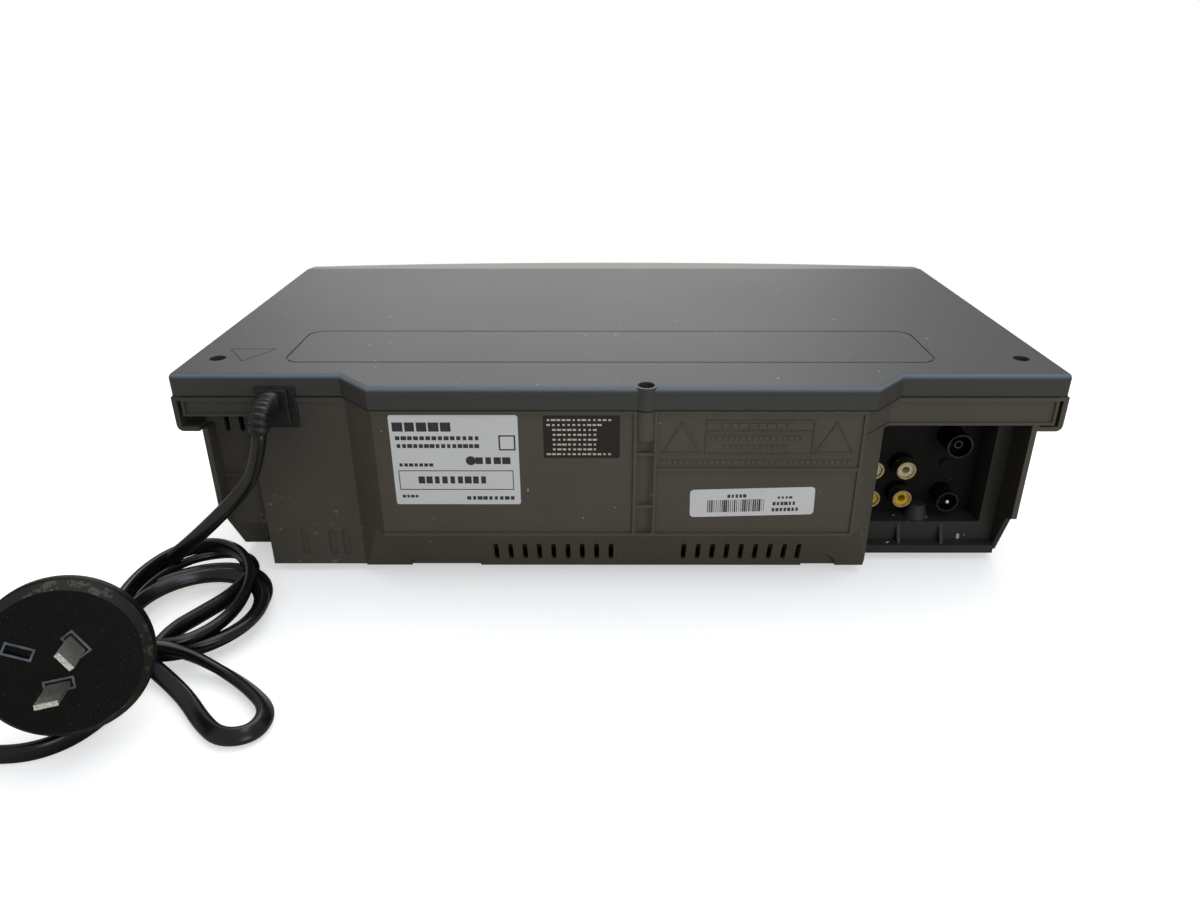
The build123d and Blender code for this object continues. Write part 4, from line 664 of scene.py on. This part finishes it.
def bar_rows():
    """Bars of uneven length in one row, as flat boxes: count, room for each, size and seed."""
    tree = bpy.data.node_groups.new("bar_row", "GeometryNodeTree")
    face = tree.interface
    for name, kind, start in (
        ("Count", "Int", 12), ("Pitch", "Float", 0.003), ("Height", "Float", 0.0012),
        ("Shortest", "Float", 0.3), ("Thickness", "Float", 0.0001), ("Seed", "Int", 1),
        ("Finish", "Material", None),
    ):
        socket = face.new_socket(name, in_out="INPUT", socket_type="NodeSocket" + kind)
        if start is not None:
            socket.default_value = start
    face.new_socket("Geometry", in_out="OUTPUT", socket_type="NodeSocketGeometry")
    add, join = tree.nodes.new, tree.links.new
    given, result = add("NodeGroupInput"), add("NodeGroupOutput")
    line = add("GeometryNodeMeshLine")
    step = add("ShaderNodeCombineXYZ")
    join(given.outputs["Pitch"], step.inputs[0])
    join(given.outputs["Count"], line.inputs["Count"])
    join(step.outputs[0], line.inputs["Offset"])
    chance = add("FunctionNodeRandomValue")
    chance.data_type = "FLOAT"
    join(given.outputs["Shortest"], chance.inputs[2])
    chance.inputs[3].default_value = longest_bar
    join(given.outputs["Seed"], chance.inputs["Seed"])
    long = add("ShaderNodeMath")
    long.operation = "MULTIPLY"
    join(chance.outputs[1], long.inputs[0])
    join(given.outputs["Pitch"], long.inputs[1])
    size = add("ShaderNodeCombineXYZ")
    join(long.outputs[0], size.inputs[0])
    join(given.outputs["Thickness"], size.inputs[1])
    join(given.outputs["Height"], size.inputs[2])
    cube = add("GeometryNodeMeshCube")
    spread = add("GeometryNodeInstanceOnPoints")
    join(line.outputs[0], spread.inputs["Points"])
    join(cube.outputs[0], spread.inputs["Instance"])
    join(size.outputs[0], spread.inputs["Scale"])
    real, coat = add("GeometryNodeRealizeInstances"), add("GeometryNodeSetMaterial")
    join(spread.outputs[0], real.inputs[0])
    join(real.outputs[0], coat.inputs["Geometry"])
    join(given.outputs["Finish"], coat.inputs["Material"])
    join(coat.outputs[0], result.inputs[0])
    return tree


bar_tree = bar_rows()


def bars(name, place, finish, tilt=0.0, **sizes):
    """A row of bars as a plain mesh; place is its start, seen from the rear it runs to the right."""
    holder = stand(name, bpy.data.meshes.new(name))
    change = holder.modifiers.new("bars", "NODES")
    change.node_group = bar_tree
    values = {**sizes, "Finish": finish.data}
    for item in bar_tree.interface.items_tree:
        if item.in_out == "INPUT" and item.name in values:
            change[item.identifier] = values[item.name]
    ready = holder.evaluated_get(bpy.context.evaluated_depsgraph_get())
    made = bpy.data.meshes.new_from_object(ready)
    bpy.data.objects.remove(holder)
    made.name = name
    made.transform(
        Matrix.Translation(Vector(place) * mm) @ Matrix.Rotation(radians(tilt), 4, "Y")
        @ Matrix.Rotation(pi, 4, "Z")
    )
    return made


def plate(name, x, z, size, y, thickness, finish, corner, tilt=0.0):
    """A thin plate on the rear wall with rounded corners; x and z are its middle."""
    maker = bmesh.new()
    lean_cos, lean_sin = cos(radians(tilt)), sin(radians(tilt))
    turned = []
    for cx, cz, start in ((1, 1, 0), (-1, 1, 90), (-1, -1, 180), (1, -1, 270)):
        for n in range(corner_steps + 1):
            turn = radians(start + 90 / corner_steps * n)
            a = cx * (size[0] / 2 - corner) + corner * cos(turn)
            b = cz * (size[1] / 2 - corner) + corner * sin(turn)
            turned.append((x + a * lean_cos + b * lean_sin, z - a * lean_sin + b * lean_cos))
    back = [maker.verts.new((a * mm, (y - plate_sunk) * mm, b * mm)) for a, b in turned]
    front = [maker.verts.new((a * mm, (y + thickness) * mm, b * mm)) for a, b in turned]
    maker.faces.new(front)
    maker.faces.new(back)
    skin(maker, [back, front])
    return closed(name, maker, finish)


def together(name, body, meshes):
    """Joins plain meshes into one piece that rides on a body."""
    maker = bmesh.new()
    materials = []
    for mesh in meshes:
        start = len(maker.faces)
        maker.from_mesh(mesh)
        maker.faces.ensure_lookup_table()
        for face in maker.faces[start:]:
            material = mesh.materials[face.material_index]
            if material not in materials:
                materials.append(material)
            face.material_index = materials.index(material)
    made = bpy.data.meshes.new(name)
    maker.to_mesh(made)
    maker.free()
    for material in materials:
        made.materials.append(material)
    piece = stand(name, made)
    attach(piece, body)


def printed(name, colour, rough=0.45):
    """Printed paper or ink, a little cloudy."""
    finish = Finish(name)
    cloud = finish.noise(45, 4, 0.6)
    base = finish.ramp(cloud, (0.25, tuple(c * 0.93 for c in colour[:3])), (0.75, colour[:3]))
    finish.set(Base_Color=base, Roughness=rough + cloud * 0.1)
    return finish


white_print = printed("label_white", srgb(226, 228, 230))
black_print = printed("label_black", srgb(20, 19, 18), 0.4)
grey_ink = printed("label_ink", srgb(52, 52, 54), 0.5)
pale_ink = printed("label_pale_ink", srgb(205, 200, 186), 0.5)
rating_label = [plate("rating_plate", 65.3, 60.6, (50.4, 39.4), wall_y, plate_thickness, white_print, 1.0)]
for start_x, row_z, tall, number, room, seed in (
    (87.2, 75.2, 3.9, 5, 4.7, 3), (87.6, 70.4, 1.7, 14, 2.4, 5), (87.4, 67.0, 1.7, 15, 2.2, 8),
    (87.2, 58.7, 1.4, 7, 2.0, 2), (56.0, 60.6, 3.0, 4, 3.6, 13), (87.2, 44.6, 1.2, 4, 1.7, 4),
    (61.0, 43.8, 1.6, 9, 2.2, 9), (79.5, 52.0, 3.2, 9, 3.1, 21),
):
    rating_label.append(bars(
        "rating_row", (start_x, wall_y + plate_thickness, row_z), grey_ink, Count=number, Pitch=room * mm,
        Height=tall * mm, Shortest=0.55, Thickness=ink_thickness, Seed=seed,
    ))
for bx, bz, bw, bh, line in ((65.6, 51.9, 45.6, 8.4, 0.35), (44.6, 68.4, 6.0, 6.0, 0.6)):
    for sign in (-1, 1):
        for x, z, size in (
            (bx, bz + sign * bh / 2, (bw + line, line)), (bx + sign * bw / 2, bz, (line, bh)),
        ):
            rating_label.append(plate("rating_box", x, z, size, wall_y, box_thickness, grey_ink, 0.1))
rating_label.append(plate("rating_dot", 59.3, 60.6, (4.0, 4.0), wall_y, box_thickness, grey_ink, 1.95))
together("rating_label", "cabinet", rating_label)

black_label = [plate("black_plate", 15.2, 70.9, (30.0, 18.2), wall_y, plate_thickness, black_print, 0.6)]
for row, number in enumerate((13, 11, 9, 9, 9, 9, 9, 13)):
    start_x = 28.2 if number > 9 else 26.0
    black_label.append(bars(
        "black_row", (start_x, wall_y + plate_thickness, 78.2 - 2.1 * row), pale_ink, Count=number,
        Pitch=2.0 * mm, Height=0.8 * mm, Shortest=0.4, Thickness=ink_thickness, Seed=30 + row,
    ))
together("black_label", "cabinet", black_label)

sticker_tilt = 1.6
sticker_face = wall_y + sticker_thickness
sticker = [plate(
    "sticker_plate", -53.8, 41.9, (50.5, 12.6), wall_y, sticker_thickness, white_print, 1.6, sticker_tilt,
)]
sticker.append(bars(
    "sticker_bars", (-35.9, sticker_face, 39.9), grey_ink, sticker_tilt, Count=28, Pitch=0.84 * mm,
    Height=5.6 * mm, Shortest=0.2, Thickness=ink_thickness, Seed=17,
))
for start_x, row_z, number, tall in (
    (-62.6, 38.4, 7, 1.6), (-62.8, 41.2, 6, 1.6), (-64.5, 44.0, 4, 1.0), (-44.2, 44.6, 5, 1.5),
):
    sticker.append(bars(
        "sticker_row", (start_x, sticker_face, row_z), grey_ink, sticker_tilt, Count=number,
        Pitch=1.6 * mm, Height=tall * mm, Shortest=0.5, Thickness=ink_thickness, Seed=50 + number,
    ))
together("sticker", "cabinet", sticker)


# Raised frames moulded into the rear wall, of the tub's own plastic. They are left bare apart from rows of
# plain raised bars, laid by the same node tree as the labels' bars.
frame_proud = 0.45
frame_sunk = 0.05


def raised_frame(name, outline, thin):
    """A closed frame of even width that stands out of the rear wall; outline runs round it."""
    count = len(outline)
    inner = []
    for n in range(count):
        here, before, after = (Vector(outline[k % count]) for k in (n, n - 1, n + 1))
        into, out = (here - before).normalized(), (after - here).normalized()
        normal_in, normal_out = Vector((-into.y, into.x)), Vector((-out.y, out.x))
        middle = (normal_in + normal_out).normalized()
        inner.append(here + middle * thin / max(middle.dot(normal_in), 0.2))
    maker = bmesh.new()
    loops = []
    for ring, lift in (
        (outline, -frame_sunk), (outline, frame_proud), (inner, frame_proud), (inner, -frame_sunk),
    ):
        loops.append([maker.verts.new((p[0] * mm, (wall_y + lift) * mm, p[1] * mm)) for p in ring])
    skin(maker, loops + loops[:1])
    return closed(name, maker, case_grey)


frame_marks = [
    raised_frame("title_frame", [(-33.5, 63.3), (-33.5, 78.2), (-76.2, 78.2), (-76.2, 63.3)], 0.5),
    plate("title_line", -54.85, 73.4, (42.0, 0.45), wall_y, frame_proud, case_grey, 0.1),
    raised_frame("left_triangle", [(-16.4, 63.8), (-24.3, 77.8), (-32.2, 63.8)], 0.6),
    raised_frame("right_triangle", [(-76.8, 63.8), (-84.8, 77.8), (-92.8, 63.8)], 0.6),
]
for start_x, row_z, number, room, tall in (
    (-41.0, 75.8, 8, 3.6, 2.2), (-36.5, 70.6, 16, 2.35, 1.7), (-42.0, 66.5, 11, 2.35, 1.7),
    (-17.0, 60.2, 32, 2.4, 1.7),
):
    frame_marks.append(bars(
        "moulded_row", (start_x, wall_y + 0.1, row_z), case_grey, Count=number, Pitch=room * mm,
        Height=tall * mm, Shortest=0.55, Thickness=0.0005, Seed=number,
    ))
together("moulded_frames", "cabinet", frame_marks)

# Plain triangle beside the screw on the cover, left bare inside. The real one is cut into the plastic; here
# three thin dark lines, painted shade of its grooves, are laid on the cover's top.
cover_top = 92.0
line_sunk = 0.02
line_proud = 0.04
# painted shade: near-black lines stand for the shade in the triangle's grooves
groove_black = printed("groove_black", srgb(24, 24, 24), 0.6)
triangle = [(166.1, 65.9), (155.6, 81.3), (146.8, 65.9)]
triangle_line = 0.55
maker = bmesh.new()
for (ax, ay), (bx, by) in zip(triangle, triangle[1:] + triangle[:1]):
    run = Vector((bx - ax, by - ay)).normalized()
    aside = Vector((-run.y, run.x)) * triangle_line / 2
    corners = [
        (ax + aside.x, ay + aside.y), (ax - aside.x, ay - aside.y),
        (bx - aside.x, by - aside.y), (bx + aside.x, by + aside.y),
    ]
    low, high = (
        [maker.verts.new((x * mm, y * mm, (cover_top + lift) * mm)) for x, y in corners]
        for lift in (-line_sunk, line_proud)
    )
    maker.faces.new(high)
    maker.faces.new(low)
    skin(maker, [low, high])
engraved_piece = stand("cover_triangle", closed("cover_triangle", maker, groove_black))
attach(engraved_piece, "cabinet")

# Printed rows over the front's keys and jacks: plain bars in pale ink that follow the bowed face.
# Each row is laid flat by the labels' node tree, then turned to the bow at its middle.
front_y = -113.5
bow_radius = 1500.0
mark_pitch = 1.5
front_marks = []
for n, (x, z, number) in enumerate((
    (-140, 64.4, 7), (-152, 43.8, 4), (-128, 43.8, 4), (140, 64.4, 6), (140, 49.8, 5), (128, 36.8, 5),
    (152, 36.8, 5), (140, 22.4, 5), (-152, 24.6, 4), (-128, 24.6, 4),
)):
    row = bars(
        "key_row", (0, 0, 0), pale_ink, Count=number, Pitch=mark_pitch * mm, Height=1.1 * mm, Shortest=0.5,
        Thickness=0.0001, Seed=70 + n,
    )
    bow = front_y + bow_radius - sqrt(bow_radius * bow_radius - x * x)
    row.transform(
        Matrix.Translation(Vector((x, bow, z)) * mm) @ Matrix.Rotation(asin(x / bow_radius), 4, "Z")
        @ Matrix.Translation((number * mark_pitch / 2 * mm - mark_pitch / 2 * mm, 0, 0))
    )
    front_marks.append(row)
together("front_marks", "cabinet", front_marks)

# Display: a smoked clear lens, set on a ledge in the front, over a glass tube on the front board.
# Both are CAD pieces that take a finish.
smoked = Finish("smoked_lens")
smoked.set(
    Base_Color=smoked.ramp(smoked.noise(30), (0.3, (0.012, 0.01, 0.01)), (0.7, (0.03, 0.025, 0.025))),
    Roughness=0.08, Coat_Weight=0.4, Coat_Roughness=0.05,
)
dress(smoked, "display_window")
tube_glass = plated("tube_glass", (0.04, 0.05, 0.05), (0.09, 0.11, 0.1), 0.1, 0.0, 80)
dress(tube_glass, "display_tube")

# Inside: resin boards, zinc-plated chassis, polished drum, white acetal reels and gears, black rubber.
# All are CAD pieces that take a finish; the transformer's core has the bands of its laminations.
board_resin = plated("board_resin", (0.16, 0.1, 0.04), (0.22, 0.15, 0.06), 0.5, 0.0, 260)
zinc = plated("zinc_plate", (0.42, 0.42, 0.4), (0.6, 0.6, 0.58), 0.35, 1.0, 120)
drum_metal = plated("drum_metal", (0.62, 0.62, 0.64), (0.78, 0.78, 0.8), 0.16, 1.0, 60)
acetal = plated("acetal", (0.62, 0.61, 0.57), (0.72, 0.71, 0.67), 0.4, 0.0, 90)
black_part = plated("black_part", (0.012, 0.012, 0.013), (0.03, 0.03, 0.03), 0.35, 0.0, 200)
belt_rubber = plated("belt_rubber", (0.01, 0.01, 0.01), (0.03, 0.03, 0.03), 0.7, 0.0, 400)
laminations = Finish("laminations")
layers = laminations.node(
    "ShaderNodeTexWave", {"wave_type": "BANDS", "bands_direction": "Y"},
    {"Vector": laminations.place(), "Scale": 320.0, "Distortion": 0.0},
)
laminations.set(
    Base_Color=laminations.ramp(layers, (0.3, (0.1, 0.09, 0.08)), (0.7, (0.3, 0.28, 0.25))),
    Metallic=0.7, Roughness=0.45,
)
dress(board_resin, "front_board", "main_board")
dress(black_part, "tact_switches", "front_jacks", "mains_capacitor")
dress(laminations, "transformer")
dress(drum_metal, "heat_sink", "lower_drum", "upper_drum")
dress(
    zinc, "modulator_can", "deck_chassis", "drum_motor", "capstan", "idler_arm", "pinch_arm", "loading_motor",
    "head_stack", "tension_arm", "cassette_holder", "door_spring",
)
dress(
    acetal, "clutch_pulley", "supply_reel", "takeup_reel", "supply_guide", "takeup_guide", "cam_gear",
    "loading_worm", "holder_slider",
)
dress(belt_rubber, "drive_belt", "idler_wheel", "pinch_roller")
